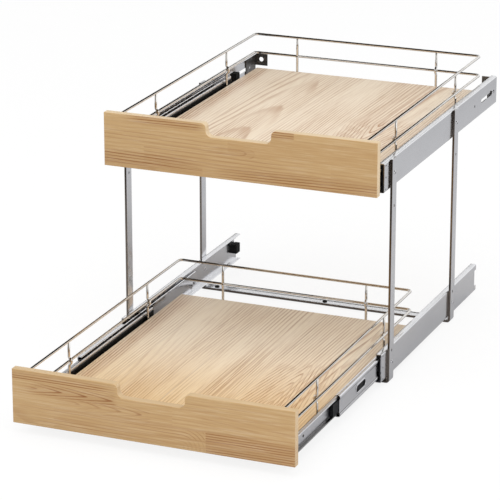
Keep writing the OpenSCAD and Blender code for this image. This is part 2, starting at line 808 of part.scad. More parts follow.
board_angle(LOWER, RIGHT);  // lower_right_board_angle
board_angle(UPPER, LEFT);  // upper_left_board_angle
board_angle(UPPER, RIGHT);  // upper_right_board_angle
slide_screws(LOWER);  // lower_slide_screws
slide_screws(UPPER);  // upper_slide_screws
board_screws(LOWER);  // lower_board_screws
board_screws(UPPER);  // upper_board_screws
top_wire(LOWER);  // lower_top_wire
top_wire(UPPER);  // upper_top_wire
mid_wires(LOWER);  // lower_mid_wires
mid_wires(UPPER);  // upper_mid_wires
wire_legs(LOWER);  // lower_wire_legs
wire_legs(UPPER);  // upper_wire_legs
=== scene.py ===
"""Finished looks for a two-tier pull-out cabinet organiser.

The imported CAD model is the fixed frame. Each operator below adds one group of
pieces, or gives CAD nodes their finish, and main() runs them all in order.
Lengths are metres, X is across, Y runs into the cabinet and Z is up.
"""

import math
from types import SimpleNamespace

import bpy
import numpy as np
from bpy.props import FloatProperty, FloatVectorProperty, PointerProperty
from bpy.types import Operator, Panel, PropertyGroup
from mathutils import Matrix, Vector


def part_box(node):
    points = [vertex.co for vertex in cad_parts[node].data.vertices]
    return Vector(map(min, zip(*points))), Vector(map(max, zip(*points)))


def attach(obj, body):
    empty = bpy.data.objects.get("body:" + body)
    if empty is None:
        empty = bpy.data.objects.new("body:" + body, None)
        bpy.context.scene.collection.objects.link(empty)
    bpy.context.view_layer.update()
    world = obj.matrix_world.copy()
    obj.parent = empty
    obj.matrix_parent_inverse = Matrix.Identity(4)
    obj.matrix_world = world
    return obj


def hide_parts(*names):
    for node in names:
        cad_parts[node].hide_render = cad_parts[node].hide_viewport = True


bl_info = {
    "name": "Pull-Out Organiser Looks",
    "version": (1, 0, 0),
    "blender": (4, 5, 0),
    "location": "View3D > Sidebar > Organiser",
    "description": "Wood, wire and slide finishes for a two-tier pull-out organiser",
    "category": "Object",
}

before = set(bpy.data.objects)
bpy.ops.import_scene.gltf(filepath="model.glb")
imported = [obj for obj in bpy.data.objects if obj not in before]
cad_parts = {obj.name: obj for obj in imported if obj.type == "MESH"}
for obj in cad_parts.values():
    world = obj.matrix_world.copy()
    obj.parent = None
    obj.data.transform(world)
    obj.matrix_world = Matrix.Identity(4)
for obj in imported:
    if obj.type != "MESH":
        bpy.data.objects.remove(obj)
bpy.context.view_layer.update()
TIERS = ("lower", "upper")
SIDES = (("left", -1.0), ("right", 1.0))


# ---- curves and sections -------------------------------------------------


def unit(vectors):
    """The vectors, each divided by its own length."""
    return vectors / np.linalg.norm(vectors, axis=-1, keepdims=True)


def corner_arc(corner, before, after, radius, steps):
    """The arc that rounds one corner between two unit directions.

    With t the turn between them, the arc starts radius * tan(t / 2) before the
    corner. Its points are centre - radius * cos(s) * inward + radius * sin(s) *
    before, for s from 0 to t, with the given steps to each 1.5 radians.
    """
    turn = math.acos(float(np.clip(before @ after, -1.0, 1.0)))
    if turn < 1e-6 or radius <= 0.0:
        return corner[None, :]
    inward = unit(after - (after @ before) * before)
    start = corner - before * radius * math.tan(turn / 2)
    count = max(2, math.ceil(steps * turn / 1.5))
    s = np.linspace(0.0, turn, count + 1)[:, None]
    return start + radius * (1 - np.cos(s)) * inward + radius * np.sin(s) * before


def bent(points, radii, steps=8):
    """An open centreline: straight runs between the points, with rounded corners."""
    points = np.asarray(points, float)
    ways = unit(np.diff(points, axis=0))
    arcs = [
        corner_arc(corner, before, after, radius, steps)
        for corner, before, after, radius in zip(points[1:-1], ways[:-1], ways[1:], radii)
    ]
    return np.concatenate([points[:1], *arcs, points[-1:]])


def rounded_loop(points, radii, steps=5):
    """A closed outline with each of its corners rounded to its own radius."""
    points = np.asarray(points, float)
    ways = unit(np.roll(points, -1, axis=0) - points)
    arcs = [
        corner_arc(corner, before, after, radius, steps)
        for corner, before, after, radius in zip(points, np.roll(ways, 1, axis=0), ways, radii)
    ]
    return np.concatenate(arcs)


def circle(radius, sides=20):
    """A circle's points: radius * (cos, sin) of evenly spaced angles."""
    turn = np.linspace(0.0, 2 * math.pi, sides, endpoint=False)
    return radius * np.stack([np.cos(turn), np.sin(turn)], axis=1)


def tangents(path):
    """Unit tangents of an open path, from the difference of each point's neighbours."""
    return unit(np.gradient(path, axis=0))


def sheet_outline(points, radii, thickness, burr=0.0002):
    """The closed section of bent sheet: its outer face, then its inner face backwards.

    The inner face is the outer one's mitred offset to its left. A bend's inner
    radius is its outer one less the thickness, or plus it where the sheet bends
    back, and the cut edges are rounded by the burr.
    """
    points, radii = np.asarray(points, float), np.asarray(radii, float)
    ways = unit(np.diff(points, axis=0))
    left = np.stack([-ways[:, 1], ways[:, 0]], axis=1)
    before, after = np.concatenate([left[:1], left]), np.concatenate([left, left[-1:]])
    mitre = (before + after) / (1 + (before * after).sum(axis=1, keepdims=True))
    turn = np.sign((left[:-1] * ways[1:]).sum(axis=1))
    inner = np.maximum(radii - thickness * turn, burr)
    loop = np.concatenate([points, (points + thickness * mitre)[::-1]])
    return rounded_loop(loop, [burr, *radii, burr, burr, *inner[::-1], burr])


# ---- surfaces ------------------------------------------------------------


def grid_faces(rows, columns):
    """Quads between neighbouring rows of a grid whose columns close on themselves."""
    start = np.arange(rows - 1)[:, None] * columns
    here = np.arange(columns)[None, :]
    after = (here + 1) % columns
    return np.stack(
        [start + here, start + after, start + columns + after, start + columns + here], axis=-1
    ).reshape(-1, 4)


def enclosed_volume(points, quads, caps):
    """Signed volume by the divergence theorem, from fans of triangles."""
    fans = [quads[:, [0, 1, 2]], quads[:, [0, 2, 3]]]
    fans += [
        np.stack([np.full(len(cap) - 2, cap[0]), cap[1:-1], cap[2:]], axis=1) for cap in caps
    ]
    a, b, c = np.moveaxis(points[np.concatenate(fans)], 1, 0)
    return float((a * np.cross(b, c)).sum() / 6)


def closed_grid(rings):
    """A closed solid from rings of points: quads between rings, and flat end caps.

    Its faces point outwards, whichever way the rings run.
    """
    rows, columns, _ = rings.shape
    points = rings.reshape(-1, 3)
    quads = grid_faces(rows, columns)
    caps = [np.arange(columns)[::-1], np.arange(columns) + (rows - 1) * columns]
    if enclosed_volume(points, quads, caps) < 0:
        quads = quads[:, ::-1]
        caps = [cap[::-1] for cap in caps]
    return points, [*quads.tolist(), *(cap.tolist() for cap in caps)]


def closed_ring(rings):
    """A closed solid from rings of points, the last of which joins the first."""
    rows, columns, _ = rings.shape
    points = rings.reshape(-1, 3)
    quads = grid_faces(rows + 1, columns) % (rows * columns)
    if enclosed_volume(points, quads, []) < 0:
        quads = quads[:, ::-1]
    return points, quads.tolist()


def sweep(path, profile, across=(1.0, 1.0, 1.0), ease=0.0):
    """A profile carried along a path.

    At each path point the profile's first axis is the given direction made
    square to the tangent, and its second is the tangent crossed with that. With
    ease, both ends shrink a little over that length, as a cut end's edge does.
    """
    way = tangents(path)
    size = np.ones(len(path))
    if ease > 0.0:
        path = np.concatenate(
            [path[:1], path[:1] + ease * way[:1], path[1:-1], path[-1:] - ease * way[-1:], path[-1:]]
        )
        way = np.concatenate([way[:1], way[:1], way[1:-1], way[-1:], way[-1:]])
        size = np.ones(len(path))
        size[[0, -1]] = 1.0 - ease / np.abs(profile).max()
    side = np.asarray(across, float)
    side = unit(side - (way @ side)[:, None] * way)
    up = np.cross(way, side)
    flat = profile[None, :, :] * size[:, None, None]
    rings = path[:, None, :] + flat[..., :1] * side[:, None, :] + flat[..., 1:] * up[:, None, :]
    return closed_grid(rings)


def extruded(outline, low, high, place):
    """A flat outline drawn out between two heights. place(a, b, h) gives the points."""
    a = np.stack([outline[:, 0], outline[:, 0]])
    b = np.stack([outline[:, 1], outline[:, 1]])
    h = np.stack([np.full(len(outline), low), np.full(len(outline), high)])
    return closed_grid(place(a, b, h))


def eased_slab(outline, low, high, ease, place, steps=4):
    """A slab whose long edges are rounded off.

    The outline, anticlockwise, is drawn in by ease * (1 - sin s) at a height of
    ease * (1 - cos s) from each face, for s from 0 to a quarter turn.
    """
    s = np.linspace(0.0, math.pi / 2, steps + 1)
    inset = ease * (1 - np.sin(s))
    rise = ease * (1 - np.cos(s))
    insets = np.concatenate([inset, inset[::-1]])
    heights = np.concatenate([low + rise, (high - rise)[::-1]])
    before = unit(outline - np.roll(outline, 1, axis=0))
    after = np.roll(before, -1, axis=0)
    turned = np.array([[0.0, 1.0], [-1.0, 0.0]])
    n, m = before @ turned, after @ turned
    inward = (n + m) / (1 + (n * m).sum(axis=1, keepdims=True))
    drawn = outline[None] + insets[:, None, None] * inward[None]
    h = np.broadcast_to(heights[:, None], drawn.shape[:2])
    return closed_grid(place(drawn[..., 0], drawn[..., 1], h))


def revolved(profile, centre, axis, sides=24):
    """A profile of (radius, height) turned about an axis through a centre."""
    axis = unit(np.asarray(axis, float))
    side = unit(np.cross(axis, [0.3, 0.5, 0.81]))
    up = np.cross(axis, side)
    turn = circle(1.0, sides)
    spokes = turn[:, :1] * side + turn[:, 1:] * up
    profile = np.asarray(profile, float)
    rings = profile[:, None, :1] * spokes[None] + profile[:, None, 1:] * axis
    return closed_grid(np.asarray(centre, float) + rings)


def joined(solids):
    """Several closed solids as one set of points and faces."""
    points, faces, count = [], [], 0
    for some, those in solids:
        points.append(some)
        faces += [[index + count for index in face] for face in those]
        count += len(some)
    return np.concatenate(points), faces


def as_across(a, b, h):
    """Outline in X and Z, height along Y."""
    return np.stack([a, h, b], axis=-1)


def as_level(a, b, h):
    """Outline in X and Y, height along Z."""
    return np.stack([a, b, h], axis=-1)


def as_sideways(a, b, h):
    """Outline in Y and Z, height along X."""
    return np.stack([h, a, b], axis=-1)


# ---- pieces --------------------------------------------------------------


def make_object(name, solid):
    """A mesh object at the origin from one set of points and faces."""
    points, faces = solid
    mesh = bpy.data.meshes.new(name)
    mesh.from_pydata(points.tolist(), [], faces)
    mesh.update()
    made = bpy.data.objects.new(name, mesh)
    bpy.context.scene.collection.objects.link(made)
    return made


def drill(piece, cutters):
    """Cuts closed solids out of a piece, exactly, and keeps the result as its mesh."""
    cutter = make_object("cutter", joined(cutters))
    cut = piece.modifiers.new("Holes", "BOOLEAN")
    cut.operation = "DIFFERENCE"
    cut.solver = "EXACT"
    cut.object = cutter
    depsgraph = bpy.context.evaluated_depsgraph_get()
    mesh = bpy.data.meshes.new_from_object(piece.evaluated_get(depsgraph))
    piece.modifiers.clear()
    old = piece.data
    piece.data = mesh
    mesh.name = piece.name
    bpy.data.meshes.remove(old)
    bpy.data.meshes.remove(cutter.data)


def add_piece(name, solid, finish, body, nodes=(), cutters=(), crease=32.0):
    """Makes a piece, smooths all but its creases, and lets it ride on a body."""
    piece = make_object(name, solid)
    if cutters:
        drill(piece, cutters)
    mesh = piece.data
    mesh.materials.clear()
    mesh.materials.append(finish)
    mesh.shade_smooth()
    mesh.set_sharp_from_angle(angle=math.radians(crease))
    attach(piece, body)
    if nodes:
        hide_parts(*nodes)
    return piece


def give_finish(finish, *nodes):
    """Gives CAD nodes a finish in place of their plain one."""
    for name in nodes:
        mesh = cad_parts[name].data
        mesh.materials.clear()
        mesh.materials.append(finish)


def pin_x(x0, x1, y, z, radius):
    """A round bar along X, for a hole."""
    return sweep(np.array([[x0, y, z], [x1, y, z]]), circle(radius, 24), (0.0, 1.0, 0.0))


def oblong(y0, y1, z, radius):
    """An outline with round ends, from y0 to y1."""
    corners = [(y0, z - radius), (y1, z - radius), (y1, z + radius), (y0, z + radius)]
    return rounded_loop(corners, [radius * 0.999] * 4, 10)


def pin_z(z0, z1, x, y, radius):
    """A round bar along Z, for a hole."""
    return sweep(np.array([[x, y, z0], [x, y, z1]]), circle(radius, 24))


def slot_x(x0, x1, y0, y1, z, radius):
    """A bar along X with round ends, for an oblong hole from y0 to y1."""
    return extruded(oblong(y0, y1, z, radius), x0, x1, as_sideways)


def slit_x(x0, x1, y0, y1, z, half, width):
    """A U-shaped bar along X, closed at y1, for the slit round a sprung tab."""
    outline = [
        (y0, z - half), (y1, z - half), (y1, z + half), (y0, z + half),
        (y0, z + half - width), (y1 - width, z + half - width),
        (y1 - width, z - half + width), (y0, z - half + width),
    ]
    return extruded(np.array(outline), x0, x1, as_sideways)


def rectangle(low, high):
    """A rectangle's corners, anticlockwise, from its lowest and highest ones."""
    return np.array([(low[0], low[1]), (high[0], low[1]), (high[0], high[1]), (low[0], high[1])])


def block(low, high):
    """A square-edged box, for a cut."""
    return extruded(rectangle(low, high), low[2], high[2], as_level)


# ---- shader maths --------------------------------------------------------


class Field:
    """A value that changes over a surface. Python's arithmetic adds Math nodes."""

    def __init__(self, tree, socket):
        self.tree = tree
        self.socket = socket

    def maths(self, operation, *terms):
        """One Math node on numbers and fields."""
        node = self.tree.nodes.new("ShaderNodeMath")
        node.operation = operation
        for entry, term in zip(node.inputs, terms):
            if isinstance(term, Field):
                self.tree.links.new(term.socket, entry)
            else:
                entry.default_value = term
        return Field(self.tree, node.outputs[0])

    def __add__(self, other):
        return self.maths("ADD", self, other)

    __radd__ = __add__

    def __sub__(self, other):
        return self.maths("SUBTRACT", self, other)

    def __rsub__(self, other):
        return self.maths("SUBTRACT", other, self)

    def __neg__(self):
        return self.maths("MULTIPLY", self, -1.0)

    def __mul__(self, other):
        return self.maths("MULTIPLY", self, other)

    def __truediv__(self, other):
        return self.maths("DIVIDE", self, other)

    def floor(self):
        """The whole number at or below it."""
        return self.maths("FLOOR", self)

    def part(self):
        """What is left above the whole number."""
        return self.maths("FRACT", self)

    def root(self):
        """The square root."""
        return self.maths("SQRT", self)

    def larger(self, other):
        return self.maths("MAXIMUM", self, other)

    def smaller(self, other):
        return self.maths("MINIMUM", self, other)

    def away(self):
        """How far it is from 0, on either side."""
        return self.maths("ABSOLUTE", self)

    def share(self):
        """It, held between 0 and 1."""
        return self.larger(0.0).smaller(1.0)

    def rise(self, low, high):
        """0 below low, 1 above high, and smooth between them."""
        node = self.tree.nodes.new("ShaderNodeMapRange")
        node.interpolation_type = "SMOOTHSTEP"
        self.tree.links.new(self.socket, node.inputs["Value"])
        node.inputs["From Min"].default_value = low
        node.inputs["From Max"].default_value = high
        return Field(self.tree, node.outputs["Result"])


class Finish:
    """A material written as calls and expressions, around one Principled shader."""

    def __init__(self, name):
        self.material = bpy.data.materials.new(name)
        self.material.use_nodes = True
        self.tree = self.material.node_tree
        self.tree.nodes.clear()
        self.shader = self.tree.nodes.new("ShaderNodeBsdfPrincipled")
        output = self.tree.nodes.new("ShaderNodeOutputMaterial")
        self.tree.links.new(self.shader.outputs[0], output.inputs["Surface"])

    def plug(self, entry, value):
        """Links a field to a socket, or sets the socket's own value."""
        if isinstance(value, Field):
            self.tree.links.new(value.socket, entry)
        else:
            entry.default_value = value

    def node(self, kind, settings, inputs, output=0):
        """Adds any node: its settings first, then its sockets' values or links."""
        node = self.tree.nodes.new(kind)
        for name, value in settings.items():
            if name == "stops":
                ramp = node.color_ramp
                while len(ramp.elements) < len(value):
                    ramp.elements.new(0.5)
                for element, (place, colour) in zip(ramp.elements, value):
                    element.position = place
                    element.color = (*colour, 1.0)
            else:
                setattr(node, name, value)
        for name, value in inputs.items():
            self.plug(node.inputs[name], value)
        return Field(self.tree, node.outputs[output])

    def surface(self, **values):
        """Sets the Principled shader's sockets, named with spaces as underscores."""
        for name, value in values.items():
            self.plug(self.shader.inputs[name.replace("_", " ")], value)
        return self.material

    def axes(self):
        """X, Y and Z of the object's own coordinates."""
        place = self.node("ShaderNodeTexCoord", {}, {}, "Object")
        split = self.tree.nodes.new("ShaderNodeSeparateXYZ")
        self.tree.links.new(place.socket, split.inputs[0])
        return [Field(self.tree, socket) for socket in split.outputs]

    def vector(self, x, y, z):
        """A vector from three numbers or fields."""
        return self.node("ShaderNodeCombineXYZ", {}, {"X": x, "Y": y, "Z": z})

    def noise(self, axes, along, across, detail=2.0, roughness=0.5, shift=0.0):
        """Smooth noise about 0.5, with so many lumps to the metre along the first axis and across."""
        a, b, c = axes
        inputs = {
            "Vector": self.vector(a * along + shift, b * across, c * across),
            "Scale": 1.0,
            "Detail": detail,
            "Roughness": roughness,
        }
        return self.node("ShaderNodeTexNoise", {}, inputs)

    def swing(self, axes, along, across, detail=2.0, roughness=0.5, shift=0.0):
        """The same noise about 0."""
        return self.noise(axes, along, across, detail, roughness, shift) - 0.5

    def chance(self, x, y):
        """Three random numbers from 0 to 1 for each pair of whole numbers."""
        settings = {"noise_dimensions": "3D"}
        inputs = {"Vector": self.vector(x, y, 0.0)}
        colour = self.node("ShaderNodeTexWhiteNoise", settings, inputs, "Color")
        split = self.tree.nodes.new("ShaderNodeSeparateColor")
        self.tree.links.new(colour.socket, split.inputs[0])
        return [Field(self.tree, socket) for socket in split.outputs]

    def blend(self, factor, first, second):
        """A colour between two colours."""
        first, second = (
            (*colour, 1.0) if isinstance(colour, tuple) and len(colour) == 3 else colour
            for colour in (first, second)
        )
        return self.node(
            "ShaderNodeMix", {"data_type": "RGBA"}, {0: factor, 6: first, 7: second}, 2
        )

    def bump(self, height, distance, strength=1.0):
        """A normal from a height field, which is full at the given distance."""
        return self.node(
            "ShaderNodeBump", {}, {"Height": height, "Distance": distance, "Strength": strength}
        )


# ---- finishes ------------------------------------------------------------

# A painted dark reflection on the narrow edge faces of the hoops' flat bar.
PAINTED_EDGE_REFLECTION = (0.230, 0.200, 0.175)
# A painted line of shade in the creases beside a slide member's ball tracks.
CREASE_SHADE = (0.160, 0.155, 0.150)
FIBRE_GLINT = (0.95, 0.86, 0.70)
DARK_CARD = (0.035, 0.028, 0.022)
GREY_CARD = (0.52, 0.52, 0.53)

# How far the grain wanders sideways, in metres for each unit of sway.
PATCH_SWAY = 0.010
LINE_SWAY = 0.008
LOG_SWAY = (0.012, 0.020, 0.010)
# Where in a ring's width its late wood is full, and where it starts to end.
RING_FULL = 0.88
RING_ENDS = 0.90
# The same of the lines of a patch, and where a straight line and an arch start.
LINE_FULL = 0.84
LINE_ENDS = 0.86
STRAIGHT_STARTS = 0.45
ARCH_STARTS = 0.56


def dimmed(colour, share):
    """A colour times a number."""
    return tuple(value * share for value in colour)


def patch_steps(a, c, sway, patch):
    """How many lines of a patch lie before a point, and where in a step a line starts.

    Straight lines are the whole steps of c / pitch. Arches are those of the
    distance from a point, divided by the pitch, where the part of it along the
    grain is counted only past the point, and divided by the arches' stretch.
    A flame adds the two parts instead, which gives the arches a point.
    """
    pitch = patch["pitch"]
    if "arch" not in patch:
        return (c + sway * LINE_SWAY) / pitch + a * patch.get("slope", 0.0), STRAIGHT_STARTS
    start, middle, (way, stretch) = patch["arch"]
    past = (a * way - start * way).larger(0.0) / stretch
    off = c - middle + sway * PATCH_SWAY
    if patch.get("flame"):
        return (past + (off * off + 0.4 * pitch ** 2).root()) / pitch, ARCH_STARTS
    return (past * past + off * off).root() / pitch, ARCH_STARTS


def grain_patch(a, c, sway, breaks, patch):
    """Strong late wood lines in one part of a piece, from 0 to 1.

    The patch fades in along the grain, out along it, and at both sides over the
    three lengths of its "soft". Its "wash" is the tone between the lines.
    """
    a0, a1, c0, c1 = patch["box"]
    soft_start, soft_end, soft_side = patch.get("soft", (0.002, 0.05, 0.006))
    edge = c + sway * PATCH_SWAY
    inside = a.rise(a0, a0 + soft_start) * (1.0 - a.rise(a1 - soft_end, a1))
    inside = inside * edge.rise(c0, c0 + soft_side) * (1.0 - edge.rise(c1 - soft_side, c1))
    steps, starts = patch_steps(a, c, sway, patch)
    lines = steps.part()
    late = lines.rise(starts, LINE_FULL) * (1.0 - lines.rise(LINE_ENDS, 1.0))
    late = late * (0.55 + breaks * 0.9)
    return (late * 0.8 + patch.get("wash", 0.2)) * inside * patch["force"]


def staves(finish, a, c, look):
    """The row of staves that a point lies in, and its stave's three random numbers."""
    row = (c / look["stave_width"] + look["shift"]).floor()
    start = finish.chance(row, look["seed"])[0] * 3.0
    column = (a / look["stave_length"] + start).floor()
    return row, finish.chance(row + 17.0, column + look["seed"])


def ring_lines(finish, grain, row, stave, sway, look):
    """Late wood lines, from 0 to 1, where a stave's surface cuts the rings of its log.

    A ring is a whole step of the distance from a tilted axis behind the surface.
    It darkens slowly and ends at a sharp line.
    """
    a, c, d = grain
    side, behind, tilt = stave
    centre = (row + 0.5 - look["shift"] + (side - 0.5) * look["spread"]) * look["stave_width"]
    under = behind * behind * look["log_depth"] + 0.006
    lean = (tilt - 0.5) * look["tilt"]
    out_sway, back_sway, ring_sway = LOG_SWAY
    out = c - centre + sway * out_sway
    back = d - look["faces"][look["seen"]] - under + a * lean + sway * back_sway
    radius = (out * out + back * back).root() + sway * ring_sway
    fine = finish.swing(grain, 5.0, 160.0, 3.0, 0.6)
    rings = (radius / look["ring_gap"] + fine * 0.22).part()
    clouds = finish.noise(grain, 1.4, 22.0, 2.0, 0.55, 3.0)
    force = clouds.rise(0.40, 0.60) * (0.35 + side * 0.65)
    late = rings.rise(look["late"], RING_FULL) * (1.0 - rings.rise(RING_ENDS, 1.0))
    return late * force * look["line_force"]


def wood(name, along, across, depth, tones, look):
    """Edge-glued softwood staves under clear lacquer.

    The staves lie side by side across the grain and meet end to end along it.
    Each is cut from its own log, so that the rings draw straight lines on some
    staves and arches on others.
    """
    pale, deep, line = tones
    finish = Finish(name)
    xyz = finish.axes()
    grain = a, c, d = xyz[along], xyz[across], xyz[depth]
    sway = finish.swing(grain, 2.3, 9.0, 1.0)
    row, stave = staves(finish, a, c, look)
    streaks = ring_lines(finish, grain, row, stave, sway, look)
    warm = finish.swing(grain, 1.1, 7.0, shift=7.0)
    tone = (0.5 + (stave[1] - 0.5) * look["stave_tone"] + warm * 0.9).share()
    colour = finish.blend(tone, pale, deep)
    # Painted light and sheen: the wood turns paler along the grain towards the far end.
    if look["far"]:
        start, end, far_painted_light = look["far"]
        colour = finish.blend(a.rise(start, end), colour, far_painted_light)
    breaks = finish.noise(grain, 4.0, 110.0, 2.0, 0.6).rise(0.36, 0.64)
    for patch in look["patches"]:
        streaks = streaks.larger(grain_patch(a, c, sway, breaks, patch))
    colour = finish.blend(streaks.smaller(1.0), colour, line)
    low_face, high_face = look["faces"]
    # Painted sheen: the edge faces between the two broad faces turn paler, as the light makes them look.
    edge = (d - low_face).rise(0.0008, 0.0014) * (high_face - d).rise(0.0002, 0.0011)
    colour = finish.blend(edge * look["edge_force"], colour, look["edge_sheen_colour"])
    fibre = finish.noise(grain, 16.0, 520.0, 4.0, 0.66)
    shade = (fibre - 0.5) * look["fibre_force"]
    colour = finish.blend(shade.larger(0.0), colour, dimmed(line, 0.9))
    colour = finish.blend((-shade).larger(0.0), colour, FIBRE_GLINT)
    off_middle = ((c / look["stave_width"] + look["shift"]).part() - 0.5).away()
    glue = off_middle.rise(0.4925, 0.4985) * 0.22
    return finish.surface(
        Base_Color=finish.blend(glue, colour, dimmed(line, 0.4)),
        Roughness=look["roughness"] + (fibre - 0.5) * 0.12,
        Normal=finish.bump(fibre * 0.6 - streaks * 0.5, 0.00010, 0.55),
    )


def rolled_steel(name, colour, roughness, grain=(1, 0, 2), bar=None, web=None):
    """Bright zinc-plated sheet: fine rolling lines along its length and a soft bloom.

    A bar is (middle, half width) of a flat bar in Y, whose edge faces get a painted dark reflection.
    A web is (foot, top) in Z of a slide member's web. Painted shade makes it darker than the ball
    tracks beside it, and a painted line of shade runs along both its edges.
    """
    finish = Finish(name)
    xyz = finish.axes()
    rolled = [xyz[index] for index in grain]
    lines = finish.noise(rolled, 18.0, 1500.0, 3.0, 0.6)
    bloom = finish.swing(rolled, 26.0, 40.0, 3.0, 0.6)
    mix = ((lines - 0.5) * 0.5 + bloom * 0.7 + 0.4).share()
    shade = finish.blend(mix, colour, dimmed(colour, 0.86))
    # Painted dark reflection: the bar's narrow edge faces are darkened towards brown.
    if bar:
        middle, half = bar
        edge_reflection_mask = (xyz[1] - middle).away().rise(half - 0.0007, half - 0.0002)
        shade = finish.blend(edge_reflection_mask, shade, PAINTED_EDGE_REFLECTION)
    if web:
        foot, top = web
        above, below = xyz[2] - foot, top - xyz[2]
        # Painted shade: the web is darker than the ball tracks beside it.
        web_shade_mask = above.rise(0.0, 0.0004) * below.rise(0.0, 0.0004)
        shade = finish.blend(web_shade_mask * 0.8, shade, dimmed(colour, 0.80))
        # Painted shade: a dark line in the creases along both edges of the web.
        near = above.away().smaller(below.away())
        shade = finish.blend(1.0 - near.rise(0.0003, 0.0008), shade, CREASE_SHADE)
    return finish.surface(
        Base_Color=shade,
        Metallic=1.0,
        Roughness=roughness + bloom * 0.06 + (lines - 0.5) * 0.05,
        Normal=finish.bump(lines, 0.00001, 0.4),
    )


def chrome(name, colour, roughness):
    """Bright plating, with the faint ripple of drawn wire under it."""
    finish = Finish(name)
    ripple = finish.noise(finish.axes(), 90.0, 90.0)
    return finish.surface(
        Base_Color=finish.blend(ripple, colour, dimmed(colour, 0.9)),
        Metallic=1.0,
        Roughness=roughness + (ripple - 0.5) * 0.04,
        Normal=finish.bump(ripple, 0.00004, 0.25),
    )


def dull_plastic(name, colour, roughness, grain=900.0, sheen=0.08):
    """Moulded plastic or rubber with a fine eroded skin, grain lumps to the metre."""
    finish = Finish(name)
    axes = finish.axes()
    skin = finish.noise(axes, grain, grain, 3.0, 0.6)
    wear = finish.noise(axes, 60.0, 60.0)
    paler = tuple(value * 1.8 + 0.003 for value in colour)
    return finish.surface(
        Base_Color=finish.blend(wear, colour, paler),
        Roughness=roughness + (wear - 0.5) * 0.16,
        Specular_IOR_Level=sheen,
        Normal=finish.bump(skin, 0.00006, 0.6),
    )


def dark_metal(name, colour, roughness):
    """Blackened or painted metal, a little worn."""
    finish = Finish(name)
    wear = finish.noise(finish.axes(), 140.0, 140.0, 3.0, 0.6)
    paler = tuple(value * 2.2 + 0.02 for value in colour)
    return finish.surface(
        Base_Color=finish.blend(wear.rise(0.45, 0.8), colour, paler),
        Metallic=0.7,
        Roughness=roughness + (wear - 0.5) * 0.2,
        Normal=finish.bump(wear, 0.00003, 0.5),
    )


# ---- settings ------------------------------------------------------------


def length(name, default, description):
    """A length setting in metres."""
    return FloatProperty(
        name=name, description=description, default=default, min=0.0, unit="LENGTH", subtype="DISTANCE"
    )


def colour(name, default, description):
    """A colour setting."""
    return FloatVectorProperty(
        name=name, description=description, default=default, min=0.0, max=1.0, size=3, subtype="COLOR"
    )


def number(name, default, description):
    """A plain number setting."""
    return FloatProperty(name=name, description=description, default=default, min=0.0)


def angle(name, degrees, description):
    """An angle setting, written here in degrees."""
    return FloatProperty(
        name=name, description=description, default=math.radians(degrees), unit="ROTATION", subtype="ANGLE"
    )


class WoodSettings(PropertyGroup):
    """Sizes and colours of the wooden boards and front panels."""

    panel_ease: length("Panel Edge", 0.0013, "Rounding of a front panel's edges")
    board_ease: length("Board Edge", 0.0010, "Rounding of a board's edges")
    notch_half: length("Notch Half Width", 0.0525, "Half the finger notch's width at its foot")
    notch_depth: length("Notch Depth", 0.0205, "Depth of the finger notch")
    notch_low: length("Notch Lower Radius", 0.010, "Radius of the notch's lower corners")
    notch_top: length("Notch Upper Radius", 0.007, "Radius of the notch's upper edges")
    stave_width: length("Stave Width", 0.030, "Width of the glued staves of a panel")
    stave_length: length("Stave Length", 0.300, "Length of the glued staves of a panel")
    board_stave: length("Board Stave Width", 0.098, "Width of the glued staves of a board")
    ring_gap: length("Ring Gap", 0.0052, "Distance between growth rings")
    panel_pale: colour("Panel Pale", (0.545, 0.362, 0.168), "Palest wood of the panels")
    panel_deep: colour("Panel Deep", (0.480, 0.296, 0.126), "Deepest wood of the panels")
    panel_line: colour("Panel Line", (0.290, 0.118, 0.032), "Late wood lines of the panels")
    # The panels' edge faces are painted paler with this colour, as sheen of the light.
    painted_edge_sheen: colour("Panel Edge Pale", (0.720, 0.570, 0.370), "Wood of the panels' sawn edges")
    board_pale: colour("Board Pale", (0.780, 0.570, 0.310), "Palest wood of the lower board")
    board_deep: colour("Board Deep", (0.700, 0.475, 0.230), "Deepest wood of the lower board")
    # Painted light and sheen: the lower board turns paler towards the back, under the upper tray's shade.
    board_far_painted_light: colour("Board Far", (0.880, 0.755, 0.580), "Lower board's wood under the upper tray")
    upper_pale: colour("Upper Board Pale", (0.810, 0.690, 0.540), "Palest wood of the upper board")
    upper_deep: colour("Upper Board Deep", (0.760, 0.625, 0.465), "Deepest wood of the upper board")
    board_line: colour("Board Line", (0.370, 0.165, 0.055), "Late wood lines of the boards")


class WireSettings(PropertyGroup):
    """Sizes and colour of the wire galleries."""

    corner: length("Corner Radius", 0.007, "Centreline radius of the gallery's corners")
    leg_bend: length("Leg Bend", 0.0035, "Centreline radius where a leg turns into the board")
    leg_reach: length("Leg Reach", 0.0105, "How far a leg's foot runs under and into the board")
    kink: length("Kink", 0.0041, "How far a leg steps round the lower wire")
    front_leg: length("Front Leg", 0.1275, "Distance of the front side legs from the panel")
    rear_leg: length("Rear Leg", 0.408, "Distance of the rear side legs from the panel")
    back_leg: length("Back Leg", 0.122, "Distance of the back legs from the middle")
    gap: length("Gap", 0.0001, "Gap between crossing wires")
    wire: colour("Wire", (0.800, 0.775, 0.740), "Plating of the wires")


